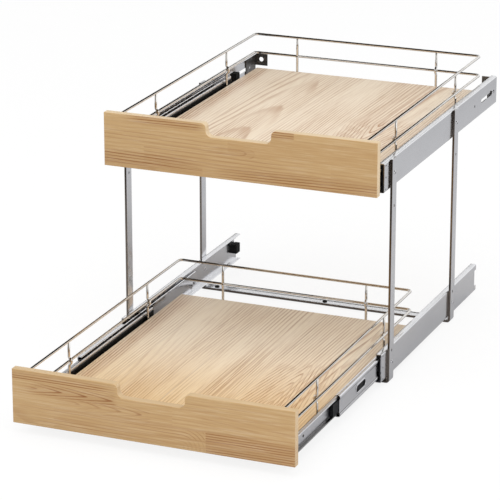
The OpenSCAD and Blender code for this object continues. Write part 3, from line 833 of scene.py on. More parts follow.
class SteelSettings(PropertyGroup):
    """Sizes and colours of the frame and the slides."""

    hoop_bend: length("Hoop Bend", 0.0055, "Outer radius of the hoops' bends")
    bar_ease: length("Bar Edge", 0.0006, "Rounding of the flat bar's edges")
    hoop_hole: length("Hoop Hole", 0.0021, "Radius of the hoops' holes")
    low_spare: length("Lower Spare Hole", 0.019, "Height of a spare hole above the lower rivet")
    high_spare: length("Upper Spare Hole", 0.051, "Drop of a spare hole below the upper rivet")
    floor_hole: length("Floor Hole", 0.1915, "Distance of a strap's end holes from its middle")
    rail_sheet: length("Rail Sheet", 0.0015, "Sheet thickness of the rails")
    slide_sheet: length("Slide Sheet", 0.0012, "Sheet thickness of the moving members")
    rail_bend: length("Rail Bend", 0.0021, "Outer radius of the rails' bends")
    rail_lip: length("Rail Lip", 0.0010, "Turned-in lip at the rails' flanges")
    slide_bend: length("Slide Bend", 0.0017, "Outer radius of the moving members' bends")
    plating: colour("Plating", (0.830, 0.835, 0.855), "Zinc plating of frame and rails")
    slide_plating: colour("Slide Plating", (0.840, 0.845, 0.870), "Plating of the moving members")
    black: colour("Black", (0.006, 0.006, 0.007), "Plastic of cages and guides")


class StudioSettings(PropertyGroup):
    """Camera, floor and lamps."""

    azimuth: angle("Azimuth", 22.477, "Camera's turn to the right of the front")
    elevation: angle("Elevation", 18.561, "Camera's height above the horizon")
    lens: number("Lens", 198.52, "Focal length in millimetres on a 36 mm sensor")
    camera: FloatVectorProperty(
        name="Camera", description="Camera's place", default=(1.5119, -3.8303, 1.5198), size=3,
        unit="LENGTH", subtype="XYZ",
    )
    ambient: number("Ambient", 0.92, "Strength of the even light from all round")
    overhead: number("Overhead", 26.0, "Power of the lamp above")
    side: number("Side", 7.0, "Power of the lamp at the right")


def wood_look(settings, **own):
    """The common numbers of the wood, with a piece's own on top."""
    look = {
        "stave_width": settings.stave_width,
        "stave_length": settings.stave_length,
        "shift": 0.37,
        "spread": 3.0,
        "log_depth": 0.060,
        "tilt": 0.16,
        "faces": (-1.0, 1.0),
        "seen": 0,
        "edge_force": 0.0,
        "edge_sheen_colour": tuple(settings.painted_edge_sheen),
        "ring_gap": settings.ring_gap,
        "seed": 3.0,
        "stave_tone": 0.9,
        "line_force": 0.85,
        "fibre_force": 0.8,
        "roughness": 0.42,
        "late": 0.45,
        "far": None,
        "patches": (),
    }
    look.update(own)
    return look


# ---- operators -----------------------------------------------------------


def panel_patches(tier, low):
    """Where the strong grain lies on a front panel: across in X, and up from its foot."""
    def box(x0, x1, up0, up1):
        return (x0, x1, low.z + up0, low.z + up1)

    foot = low.z
    if tier == "lower":
        return (
            {"box": box(-0.240, -0.040, 0.064, 0.083), "pitch": 0.0037, "force": 0.95},
            {"box": box(-0.215, -0.050, 0.044, 0.068), "pitch": 0.0036, "force": 0.90,
             "arch": (-0.190, foot + 0.056, (1.0, 11.0)), "soft": (0.05, 0.010, 0.006), "flame": True},
            {"box": box(-0.170, 0.002, 0.026, 0.056), "pitch": 0.0046, "force": 0.60,
             "arch": (-0.120, foot + 0.042, (1.0, 7.0)), "soft": (0.08, 0.006, 0.010), "wash": 0.05,
             "flame": True},
            {"box": box(-0.240, 0.084, -0.004, 0.036), "pitch": 0.0046, "force": 0.50,
             "arch": (0.046, foot + 0.004, (1.0, 1.35)), "soft": (0.10, 0.002, 0.010), "wash": 0.05},
            {"box": box(0.084, 0.240, -0.004, 0.033), "pitch": 0.0036, "force": 0.95,
             "soft": (0.0006, 0.010, 0.002), "slope": -6.0},
            {"box": box(0.050, 0.240, 0.040, 0.062), "pitch": 0.0085, "force": 0.35,
             "soft": (0.04, 0.01, 0.008), "slope": 12.0, "wash": 0.0},
        )
    return (
        {"box": box(-0.200, -0.050, 0.068, 0.086), "pitch": 0.0042, "force": 0.90,
         "soft": (0.05, 0.02, 0.004), "slope": -3.0},
        {"box": box(-0.240, -0.020, 0.000, 0.030), "pitch": 0.0046, "force": 0.85,
         "soft": (0.02, 0.10, 0.010), "slope": 5.0},
        {"box": box(-0.080, 0.240, -0.004, 0.024), "pitch": 0.0042, "force": 0.85,
         "soft": (0.10, 0.01, 0.008), "slope": -4.0},
        {"box": box(-0.060, 0.030, 0.034, 0.052), "pitch": 0.0050, "force": 0.60,
         "arch": (0.000, foot + 0.043, (1.0, 3.0)), "soft": (0.03, 0.01, 0.006)},
        {"box": box(0.040, 0.089, 0.070, 0.086), "pitch": 0.0036, "force": 0.90,
         "soft": (0.015, 0.0006, 0.004)},
    )


def board_patches(front, arches):
    """Where the strong grain lies on a board: along in Y from its front, across in X."""
    def box(y0, y1, x0, x1):
        return (front + y0, front + y1, x0, x1)

    return (
        {"box": box(-0.05, 0.58, -0.200, -0.158), "pitch": 0.0052, "force": 0.90,
         "soft": (0.05, 0.10, 0.016), "slope": 7.0, "wash": 0.30},
        {"box": box(-0.05, 0.36, -0.118, -0.046), "pitch": 0.0046, "force": 0.80,
         "soft": (0.02, 0.20, 0.018), "slope": 4.0, "wash": 0.06},
        {"box": box(0.16, 0.58, -0.094, -0.020), "pitch": 0.0052, "force": 0.60,
         "soft": (0.20, 0.10, 0.018), "slope": -5.0, "wash": 0.03},
        {"box": box(-0.05, 0.46, -0.006, 0.070), "pitch": 0.0046, "force": 0.80,
         "soft": (0.03, 0.22, 0.018), "slope": 5.0, "wash": 0.06},
        {"box": box(0.22, 0.58, 0.040, 0.150), "pitch": 0.0054, "force": 0.70,
         "soft": (0.12, 0.06, 0.024), "slope": -4.0, "wash": 0.05},
        {"box": box(-0.05, 0.34, 0.060, 0.176), "pitch": 0.0056, "force": 0.85,
         "arch": arches, "soft": (0.02, 0.06, 0.016), "wash": 0.12, "flame": True},
        {"box": box(0.02, 0.58, 0.164, 0.210), "pitch": 0.0048, "force": 0.65,
         "soft": (0.05, 0.12, 0.010), "slope": 6.0, "wash": 0.12},
    )


class ORGANISER_OT_front_panels(Operator):
    """Two wooden fronts with a finger notch and eased edges"""

    bl_idname = "organiser.front_panels"
    bl_label = "Front Panels"

    def execute(self, context):
        sizes = context.scene.organiser_wood
        tones = (tuple(sizes.panel_pale), tuple(sizes.panel_deep), tuple(sizes.panel_line))
        for tier, seed, shift, edge_force in (("lower", 5.0, 0.37, 0.45), ("upper", 11.0, 0.12, 0.8)):
            node = tier + "_front_panel"
            low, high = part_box(node)
            look = wood_look(
                sizes, seed=seed, shift=shift, faces=(low.y, high.y), edge_force=edge_force,
                line_force=0.42, stave_tone=0.55, patches=panel_patches(tier, low),
            )
            finish = wood(node + "_wood", 0, 2, 1, tones, look)
            outline = self.outline(sizes, low, high)
            slab = eased_slab(outline, low.y, high.y, sizes.panel_ease, as_across)
            add_piece(tier + "_wooden_front", slab, finish, tier + "_tray", [node])
        return {"FINISHED"}

    @staticmethod
    def outline(sizes, low, high):
        """A panel's outline in X and Z: a rectangle whose top edge has the finger notch."""
        half, foot = sizes.notch_half, high.z - sizes.notch_depth
        corners = [
            (low.x, low.z), (high.x, low.z), (high.x, high.z), (half, high.z),
            (half, foot), (-half, foot), (-half, high.z), (low.x, high.z),
        ]
        low_r, top_r = sizes.notch_low, sizes.notch_top
        return rounded_loop(corners, [0.0, 0.0, 0.0, top_r, low_r, low_r, top_r, 0.0], 9)


class ORGANISER_OT_tray_boards(Operator):
    """Two wooden boards with eased edges"""

    bl_idname = "organiser.tray_boards"
    bl_label = "Tray Boards"

    def execute(self, context):
        sizes = context.scene.organiser_wood
        line = tuple(sizes.board_line)
        lower_tones = (tuple(sizes.board_pale), tuple(sizes.board_deep), line)
        upper_tones = (tuple(sizes.upper_pale), tuple(sizes.upper_deep), line)
        for tier, seed, tones in (("lower", 21.0, lower_tones), ("upper", 29.0, upper_tones)):
            node = tier + "_tray_board"
            low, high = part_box(node)
            far, arches = None, (low.y + 0.28, 0.118, (-1.0, 7.0))
            if tier == "lower":
                # Painted light and sheen: the lower board grows paler under the upper tray, against its
                # shade.
                far = (low.y + 0.05, low.y + 0.40, tuple(sizes.board_far_painted_light))
                arches = (low.y + 0.03, 0.118, (1.0, 7.0))
            look = wood_look(
                sizes, seed=seed, stave_width=sizes.board_stave, stave_length=2.0, spread=1.6,
                log_depth=0.10, tilt=0.10, faces=(low.z, high.z), seen=1, far=far, roughness=0.34,
                stave_tone=0.6, line_force=0.80, fibre_force=1.3, patches=board_patches(low.y, arches),
            )
            finish = wood(node + "_wood", 1, 0, 2, tones, look)
            slab = eased_slab(rectangle(low, high), low.z, high.z, sizes.board_ease, as_level)
            add_piece(tier + "_wooden_board", slab, finish, tier + "_tray", [node])
        return {"FINISHED"}


class ORGANISER_OT_gallery_wires(Operator):
    """Top and lower wires of both galleries, and their legs"""

    bl_idname = "organiser.gallery_wires"
    bl_label = "Gallery Wires"

    def execute(self, context):
        sizes = context.scene.organiser_wire
        finish = chrome("bright_wire", tuple(sizes.wire), 0.08)
        for tier in TIERS:
            top_low, top_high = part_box(tier + "_top_wire")
            low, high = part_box(tier + "_mid_wires")
            r = (top_high.z - top_low.z) / 2
            run = SimpleNamespace(
                r=r, side=top_high.x - r, back=top_high.y - r, front=top_low.y,
                top=top_high.z - r, level=high.z - r, foot=low.z + r,
            )
            groups = (
                ("_gallery_top", "_top_wire", self.top_wire(sizes, run)),
                ("_gallery_lower", "_mid_wires", self.lower_wires(sizes, run)),
                ("_gallery_legs", "_wire_legs", self.legs(sizes, run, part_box(tier + "_front_panel")[1].y)),
            )
            for piece, node, lines in groups:
                solids = [sweep(line, circle(r, 20), ease=0.12 * r) for line in lines]
                add_piece(
                    tier + piece, joined(solids), finish, tier + "_tray", [tier + node],
                    crease=50.0,
                )
        return {"FINISHED"}

    @staticmethod
    def top_wire(sizes, run):
        """The top wire's centreline: along one side, across the back and along the other."""
        left, right = -run.side, run.side
        ends = [(left, run.front), (left, run.back), (right, run.back), (right, run.front)]
        return [bent([(x, y, run.top) for x, y in ends], [sizes.corner] * 2, 14)]

    @staticmethod
    def lower_wires(sizes, run):
        """The lower wires' centrelines, the left one of which turns down as a leg."""
        leg_x, back, level = -sizes.back_leg, run.back, run.level
        start = leg_x + run.r + sizes.gap
        right = bent(
            [(start, back, level), (run.side, back, level), (run.side, run.front, level)],
            [sizes.corner], 14,
        )
        left = bent(
            [
                (-run.side, run.front, level), (-run.side, back, level), (leg_x, back, level),
                (leg_x, back, run.foot), (leg_x, back - sizes.leg_reach, run.foot),
            ],
            [sizes.corner, sizes.leg_bend, sizes.leg_bend], 14,
        )
        return [right, left]

    def legs(self, sizes, run, panel_back):
        """Centrelines of the six legs, the last of which stands on the turned-down wire."""
        stands = [
            ((s * run.side, panel_back + y), (-s, 0.0))
            for _, s in SIDES
            for y in (sizes.front_leg, sizes.rear_leg)
        ]
        stands.append(((sizes.back_leg, run.back), (0.0, -1.0)))
        tip = run.top - 0.4 * run.r
        lines = [self.leg(sizes, place, inward, tip, run.level, run.foot) for place, inward in stands]
        ends = [(-sizes.back_leg, run.back, z) for z in (tip, run.level + run.r * 0.5)]
        return [*lines, np.array(ends)]

    @staticmethod
    def leg(sizes, place, inward, top, level, foot):
        """A leg's centreline: down, round the lower wire in four equal arcs, and into the board.

        The arcs turn by the angle whose cosine is 0.6, so with radius R = kink / 0.8
        their tangents cross at 1.1 R above and below the wire, and 22 / 15 R inwards.
        """
        radius = sizes.kink / 0.8
        reach = np.array([0.0, 0.0, radius * 22 / 15, 0.0, 0.0, sizes.leg_reach])
        height = np.array([top, level + 1.1 * radius, level, level - 1.1 * radius, foot, foot])
        points = np.stack(
            [place[0] + inward[0] * reach, place[1] + inward[1] * reach, height], axis=1
        )
        return bent(points, [radius, radius, radius, sizes.leg_bend], 14)


class ORGANISER_OT_hoops(Operator):
    """Two hoops bent from flat bar, with their holes"""

    bl_idname = "organiser.hoops"
    bl_label = "Hoops"

    def execute(self, context):
        sizes = context.scene.organiser_steel
        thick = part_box("front_hoop")[1].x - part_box("lower_right_rail")[1].x
        lower, upper = rivet_heights()
        for node in ("front_hoop", "rear_hoop"):
            low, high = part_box(node)
            y, half, t = (low.y + high.y) / 2, (high.y - low.y) / 2, thick / 2
            finish = rolled_steel(node + "_plating", tuple(sizes.plating), 0.20, (2, 1, 1), (y, half))
            x, z = high.x - t, low.z + t
            line = bent(
                [(-x, y, high.z), (-x, y, z), (x, y, z), (x, y, high.z)], [sizes.hoop_bend - t] * 2, 10
            )
            bar = rounded_loop(rectangle((-half, -t), (half, t)), [sizes.bar_ease] * 4, 3)
            holes = [
                pin_x(s * (x - thick), s * (x + thick), y, height, sizes.hoop_hole)
                for _, s in SIDES
                for height in (lower, lower + sizes.low_spare, upper - sizes.high_spare, upper)
            ]
            holes += [
                pin_z(-0.01, 0.01, px, y, sizes.hoop_hole)
                for px in (-sizes.floor_hole, 0.0, sizes.floor_hole)
            ]
            add_piece(
                node.replace("hoop", "flat_bar_hoop"), sweep(line, bar, (0.0, 1.0, 0.0)), finish,
                "frame", [node], holes,
            )
        return {"FINISHED"}


def rivet_heights():
    """The heights of the lower and the upper rails' rivets."""
    boxes = [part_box(tier + "_right_rail") for tier in TIERS]
    return [(low.z + high.z) / 2 for low, high in boxes]


def rivet_places():
    """How far in the two hoops' rivets lie."""
    boxes = [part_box(node) for node in ("front_hoop", "rear_hoop")]
    return [(low.y + high.y) / 2 for low, high in boxes]


def guide_pins(low, high):
    """Places in Y and Z of the three pins that hold an end guide in a rail's mouth."""
    y, in_from_edge = low.y + 0.007, 0.0042
    return [(y, low.z + in_from_edge), (y, (low.z + high.z) / 2), (y, high.z - in_from_edge)]


def member(name, node, points, radii, sheet, web_x, side, finish, body, cutters):
    """A rolled slide member: a sheet section in (u, v) carried along Y.

    u runs inwards from the rail web's inside face, v up from the member's foot.
    """
    low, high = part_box(node)

    def place(u, v, y):
        return np.stack([side * (web_x - u), y, low.z + v], axis=-1)

    solid = extruded(sheet_outline(points, radii, sheet), low.y, high.y, place)
    return add_piece(name, solid, finish, body, [node], cutters)


def depths(node, web_x):
    """How far inwards of the rail web's inside face a node starts and ends."""
    low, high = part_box(node)
    near, far = sorted((abs(low.x), abs(high.x)))
    return web_x - far, web_x - near


class ORGANISER_OT_rails(Operator):
    """Four fixed rails, rolled from sheet"""

    bl_idname = "organiser.rails"
    bl_label = "Rails"

    def execute(self, context):
        sizes = context.scene.organiser_steel
        finish = rolled_steel("rail_plating", tuple(sizes.plating), 0.17)
        t, bend, lip = sizes.rail_sheet, sizes.rail_bend, sizes.rail_lip
        for tier in TIERS:
            for side_name, side in SIDES:
                node = tier + "_" + side_name + "_rail"
                low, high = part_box(node)
                tall, deep = high.z - low.z, high.x - low.x - t
                web = max(abs(low.x), abs(high.x))
                inner = web - t
                points = [
                    (deep, tall - lip), (deep - lip, tall), (-t, tall),
                    (-t, 0.0), (deep - lip, 0.0), (deep, lip),
                ]
                x0, x1 = side * (inner - 0.002), side * (web + 0.002)
                back_cuts = self.lower_cuts if tier == "lower" else self.upper_cuts
                cuts = self.web_cuts(low, high, x0, x1) + back_cuts(low, high, x0, x1)
                made = member(
                    tier + "_" + side_name + "_rolled_rail", node, points, [0.0006, bend, bend, 0.0006],
                    t, inner, side, finish, "frame", cuts,
                )
                if tier == "upper":
                    flange = sorted((side * (inner - deep + 0.0017), side * (web - 0.0022)))
                    drill(made, [self.flange_slit(flange, low, high)])
        return {"FINISHED"}

    @staticmethod
    def web_cuts(low, high, x0, x1):
        """The holes of every rail's web: the rivets' and the end guide's."""
        middle, rivet_r, guide_r = (low.z + high.z) / 2, 0.0022, 0.0013
        cuts = [pin_x(x0, x1, y, middle, rivet_r) for y in rivet_places()]
        return cuts + [pin_x(x0, x1, y, z, guide_r) for y, z in guide_pins(low, high)]

    @staticmethod
    def lower_cuts(low, high, x0, x1):
        """The notch that takes a lower rail's rubber stop."""
        notch, border, past = 0.008, 0.009, 0.02
        foot = (min(x0, x1) - past, high.y - notch, low.z + border)
        return [block(foot, (max(x0, x1) + past, high.y + 0.01, high.z - border))]

    @staticmethod
    def upper_cuts(low, high, x0, x1):
        """The hole and the slot behind the shut slide in an upper rail's web."""
        middle, shut = (low.z + high.z) / 2, low.y + 0.457
        return [
            pin_x(x0, x1, shut - 0.030, middle, 0.0021),
            slot_x(x0, x1, shut + 0.003, high.y - 0.012, middle, 0.0030),
        ]

    @staticmethod
    def flange_slit(flange, low, high):
        """The thin slit across an upper rail's top flange."""
        start, wide, past = low.y + 0.347, 0.0016, 0.003
        foot = (flange[0], start, high.z - past)
        return block(foot, (flange[1], start + wide, high.z + past))


class ORGANISER_OT_moving_members(Operator):
    """Middle and inner slide members, with their raceways and pressed holes"""

    bl_idname = "organiser.moving_members"
    bl_label = "Moving Members"

    def execute(self, context):
        sizes = context.scene.organiser_steel
        plating = tuple(sizes.slide_plating)
        plastic = dull_plastic("cage_plastic", tuple(sizes.black), 0.5, sheen=0.03)
        for tier in TIERS:
            low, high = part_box(tier + "_right_mid_slide")
            web = (low.z + 0.0062, high.z - 0.0062)
            bright = rolled_steel(tier + "_middle_plating", plating, 0.18, web=web)
            low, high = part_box(tier + "_right_inner_slide")
            web = (low.z + 0.0010, high.z - 0.0052)
            duller = rolled_steel(tier + "_inner_plating", plating, 0.32, web=web)
            for side_name, side in SIDES:
                self.middle(tier, side_name, side, sizes, bright)
                self.inside(tier, side_name, side, sizes, duller)
                self.cage_web(tier, side_name, side, plastic)
        return {"FINISHED"}

    @staticmethod
    def middle(tier, side_name, side, sizes, finish):
        """A middle member, whose web is stepped in from its two bands, and its slot."""
        node = tier + "_" + side_name + "_mid_slide"
        low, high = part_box(node)
        rail_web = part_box("lower_right_rail")[1].x - sizes.rail_sheet
        u0, u1 = depths(node, rail_web)
        t, tall, middle = sizes.slide_sheet, high.z - low.z, (low.z + high.z) / 2
        step, slope, band, race, lip = 0.0012, 0.0022, 0.0050, 0.0030, 0.0009
        points = [
            (u1, tall - lip), (u1 - lip, tall), (u0, tall), (u0, tall - band),
            (u0 + step, tall - band - slope), (u0 + step, band + slope), (u0, band),
            (u0, 0.0), (u1 - lip, 0.0), (u1, lip),
        ]
        radii = [0.0005, race, 0.0009, 0.0014, 0.0014, 0.0009, race, 0.0005]
        web = rail_web - u0 - step
        x0, x1 = side * (web - t - 0.002), side * (rail_web - u0 + 0.001)
        slot = (low.y + 0.070, low.y + 0.109, middle, 0.0052)
        member(
            tier + "_" + side_name + "_middle_member", node, points, radii, t, rail_web, side,
            finish, tier + "_mid_slides", [slot_x(x0, x1, *slot)],
        )
        add_piece(
            tier + "_" + side_name + "_slot_rim", slot_rim(side, web, *slot), finish,
            tier + "_mid_slides",
        )

    @staticmethod
    def inside(tier, side_name, side, sizes, finish):
        """An inner member, with its beaded web, sprung latch tab and three pin holes."""
        node = tier + "_" + side_name + "_inner_slide"
        low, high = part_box(node)
        rail_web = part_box("lower_right_rail")[1].x - sizes.rail_sheet
        u0, u1 = depths(node, rail_web)
        t, tall, middle = sizes.slide_sheet, high.z - low.z, (low.z + high.z) / 2
        bead, slope, groove, lip = 0.0005, 0.0012, 0.0045, 0.0009
        points = [
            (u0, lip), (u0 + lip, 0.0), (u1, 0.0), (u1, groove),
            (u1 - bead, groove + slope), (u1 - bead, tall - groove - slope), (u1, tall - groove),
            (u1, tall), (u0 + lip, tall), (u0, tall - lip),
        ]
        bend = sizes.slide_bend
        radii = [0.0005, bend, 0.0008, 0.0008, 0.0008, 0.0008, bend, 0.0005]
        x0, x1 = side * (rail_web - u1 - 0.001), side * (rail_web - u1 + t + 0.002)
        cuts = [
            slit_x(x0, x1, low.y + 0.006, low.y + 0.023, middle, 0.0066, 0.0015),
            pin_x(x0, x1, low.y + 0.011, middle, 0.0016),
        ]
        cuts += [pin_x(x0, x1, low.y + y, middle, 0.0022) for y in (0.0597, 0.2497, 0.3697)]
        member(
            tier + "_" + side_name + "_inner_member", node, points, radii, t, rail_web, side,
            finish, tier + "_tray", cuts,
        )

    @staticmethod
    def cage_web(tier, side_name, side, plastic):
        """The inner cage's thin web, between the two members' webs and its rows of balls."""
        low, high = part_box(tier + "_inner_cages")
        middle, half, thick = (low.z + high.z) / 2, 0.0085, 0.0004
        outside = high.x - 0.00005
        x0, x1 = sorted((side * outside, side * (outside - thick)))
        corners = rectangle((low.y + 0.029, middle - half), (high.y - 0.002, middle + half))
        add_piece(
            tier + "_" + side_name + "_cage_web", extruded(corners, x0, x1, as_sideways), plastic,
            tier + "_inner_cages",
        )


def slot_rim(side, web, y0, y1, z, half):
    """The pressed rim round a slot: its section, carried round the slot's outline.

    The section's points are (how far outside the slot's edge, how far proud of the web).
    """
    section = (
        (0.0022, -0.0002), (0.0022, 0.0003), (0.0014, 0.0008),
        (0.0007, 0.0008), (0.0001, 0.0003), (0.0001, -0.0002),
    )
    outlines = [oblong(y0 - out, y1 + out, z, half + out) for out, _ in section]
    proud = [np.full(len(outlines[0]), side * (web + rise)) for _, rise in section]
    return closed_ring(np.array([np.column_stack(pair) for pair in zip(proud, outlines)]))


class ORGANISER_OT_fasteners(Operator):
    """Tubular rivets of the hoops, pins of the end guides and black screws of the straps"""

    bl_idname = "organiser.fasteners"
    bl_label = "Fasteners"

    def execute(self, context):
        sizes = context.scene.organiser_steel
        black = dark_metal("black_oxide", (0.014, 0.014, 0.015), 0.38)
        hoop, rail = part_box("front_hoop")[1].x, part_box("lower_right_rail")[1].x
        self.rivets(sizes, hoop, rail - sizes.rail_sheet, black)
        self.snap_pins(sizes, rail)
        floor_hole = sizes.floor_hole
        self.screws("strap_screws", (0.0,), ["floor_screws"], black)
        self.screws("corner_screws", (-floor_hole, floor_hole), [], black)
        return {"FINISHED"}

    @staticmethod
    def rivets(sizes, hoop, inner, black):
        """Tubular rivets through hoop and rail, with a domed head, a rolled tail, and a black core painted
        into the bore as shade.

        The dome's points are (start + reach * cos s, hoop + head * sin s), for s from
        0 to a quarter turn.
        """
        bright = rolled_steel("rivet_plating", tuple(sizes.slide_plating), 0.22)
        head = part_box("rail_rivets")[1].x - hoop
        bore, dome_start, dome_reach, shank, tail = 0.0015, 0.0016, 0.0019, 0.0020, 0.0035
        s = np.linspace(0.0, math.pi / 2, 6)
        dome = np.stack([dome_start + dome_reach * np.cos(s), hoop + head * np.sin(s)], axis=1)
        profile = [
            (0.0001, hoop - 0.0030), (bore, hoop - 0.0030), (bore, hoop + head * 0.9),
            *dome[::-1].tolist(), (shank, hoop), (shank, inner), (tail, inner),
            (tail, inner - 0.0005), (0.0030, inner - 0.0009), (0.0018, inner - 0.0009),
            (bore, inner - 0.0006), (bore, inner + 0.0014), (0.0001, inner + 0.0014),
        ]
        # Painted shade: a black core fills the hollow bore.
        core_foot, core_top, core_r = inner - 0.0003, hoop + head * 0.45, 0.00149
        core = [(0.0001, core_foot), (core_r, core_foot), (core_r, core_top), (0.0001, core_top)]
        places = [((0.0, y, z), side) for _, side in SIDES for y in rivet_places() for z in rivet_heights()]
        rivets = [revolved(profile, place, (side, 0.0, 0.0)) for place, side in places]
        bore_shades = [revolved(core, place, (side, 0.0, 0.0), 16) for place, side in places]
        add_piece("tubular_rivets", joined(rivets), bright, "frame", ["rail_rivets"])
        add_piece("rivet_bore_shades", joined(bore_shades), black, "frame")

    @staticmethod
    def snap_pins(sizes, outside):
        """The end guides' pins, which fill the three small holes in each rail's mouth."""
        plastic = dull_plastic("pin_plastic", tuple(sizes.black), 0.5)
        inner = outside - sizes.rail_sheet
        profile = [
            (0.0001, inner), (0.0011, inner), (0.0011, outside + 0.0001),
            (0.0007, outside + 0.0003), (0.0001, outside + 0.00035),
        ]
        pins = [
            revolved(profile, (0.0, y, z), (side, 0.0, 0.0), 16)
            for _, side in SIDES
            for tier in TIERS
            for y, z in guide_pins(*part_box(tier + "_right_rail"))
        ]
        add_piece("guide_snap_pins", joined(pins), plastic, "frame")

    @staticmethod
    def screws(name, across, nodes, black):
        """Pan-headed screws with a cross slot, at the given places across both straps.

        The head's points are (radius * cos s, foot + crown * sin s), for s from 0 to
        just under a quarter turn.
        """
        low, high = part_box("floor_screws")
        strap = high.z - 0.0026
        radius, edge, crown, shank = 0.0040, 0.0006, 0.0019, 0.0019
        s = np.linspace(0.0, math.pi / 2, 6)[:-1]
        pan = np.stack([radius * np.cos(s), strap + edge + crown * np.sin(s)], axis=1)
        screw = [
            (0.0001, low.z), (shank, low.z), (shank, strap), (radius, strap),
            *pan.tolist(), (0.0001, strap + edge + crown),
        ]
        places = [(x, y) for x in across for y in rivet_places()]
        heads = [revolved(screw, (x, y, 0.0), (0.0, 0.0, 1.0)) for x, y in places]
        long, thin, foot, top = 0.0022, 0.0005, strap + 0.0010, strap + 0.0040
        cuts, cuts_across = (
            [block((x - a, y - b, foot), (x + a, y + b, top)) for x, y in places]
            for a, b in ((long, thin), (thin, long))
        )
        piece = add_piece(name, joined(heads), black, "frame", nodes, cuts)
        drill(piece, cuts_across)


class ORGANISER_OT_carried_nodes(Operator):
    """Finishes for the CAD nodes whose own shape stays"""

    bl_idname = "organiser.carried_nodes"
    bl_label = "Carried Nodes"

    def execute(self, context):
        sizes = context.scene.organiser_steel
        woods = context.scene.organiser_wood
        black = dull_plastic("black_plastic", tuple(sizes.black), 0.42)
        rubber = dull_plastic("stop_rubber", (0.010, 0.010, 0.010), 0.62, 500.0)
        dark = dark_metal("dark_bracket", (0.10, 0.095, 0.09), 0.34)
        plated = rolled_steel("angle_plating", tuple(sizes.slide_plating), 0.24)
        # Painted shade: black for the board angles and their screws stands in for the shadow of the gap
        # beside the board.
        gap_shade_black = dark_metal("painted_shade_angle", (0.010, 0.010, 0.011), 0.40)
        balls = chrome("ball_steel", (0.70, 0.71, 0.73), 0.06)
        cage = rolled_steel("cage_steel", (0.30, 0.30, 0.31), 0.34)
        tones = (tuple(woods.panel_pale), tuple(woods.panel_deep), tuple(woods.panel_line))
        dowel = wood("dowel_wood", 1, 0, 2, tones, wood_look(woods, seed=41.0))
        give_finish(black, "front_bumpers")
        give_finish(rubber, "rear_stops")
        give_finish(dark, "left_back_bracket", "right_back_bracket")
        give_finish(plated, "bracket_screws")
        for tier in TIERS:
            give_finish(black, tier + "_inner_cages")
            give_finish(cage, tier + "_outer_cages")
            give_finish(balls, tier + "_outer_balls", tier + "_inner_balls")
            give_finish(dowel, tier + "_panel_dowels")
            # The angles and their screws get the black of painted shade.
            give_finish(gap_shade_black, tier + "_left_board_angle", tier + "_right_board_angle")
            give_finish(gap_shade_black, tier + "_slide_screws", tier + "_board_screws")
        return {"FINISHED"}


# Cards in the room's reflections: name, lowest and highest corner, and colour.
FLAGS = (
    ("front_flag", (-4.0, -6.0, -0.3), (4.0, -6.0, 5.2), DARK_CARD),
    ("ceiling_flag", (-6.0, -6.0, 3.2), (6.0, 4.0, 3.2), DARK_CARD),
    ("floor_flag", (-4.0, -5.0, 0.0), (4.0, -0.85, 0.0), DARK_CARD),
    ("high_flag", (-6.0, 4.0, 2.3), (0.3, 4.0, 3.2), DARK_CARD),
    ("left_flag", (-5.0, 4.0, -0.1), (-0.6, 4.0, 1.15), DARK_CARD),
    ("back_flag", (-4.0, -0.85, 0.0), (4.0, 4.0, 0.0), GREY_CARD),
)


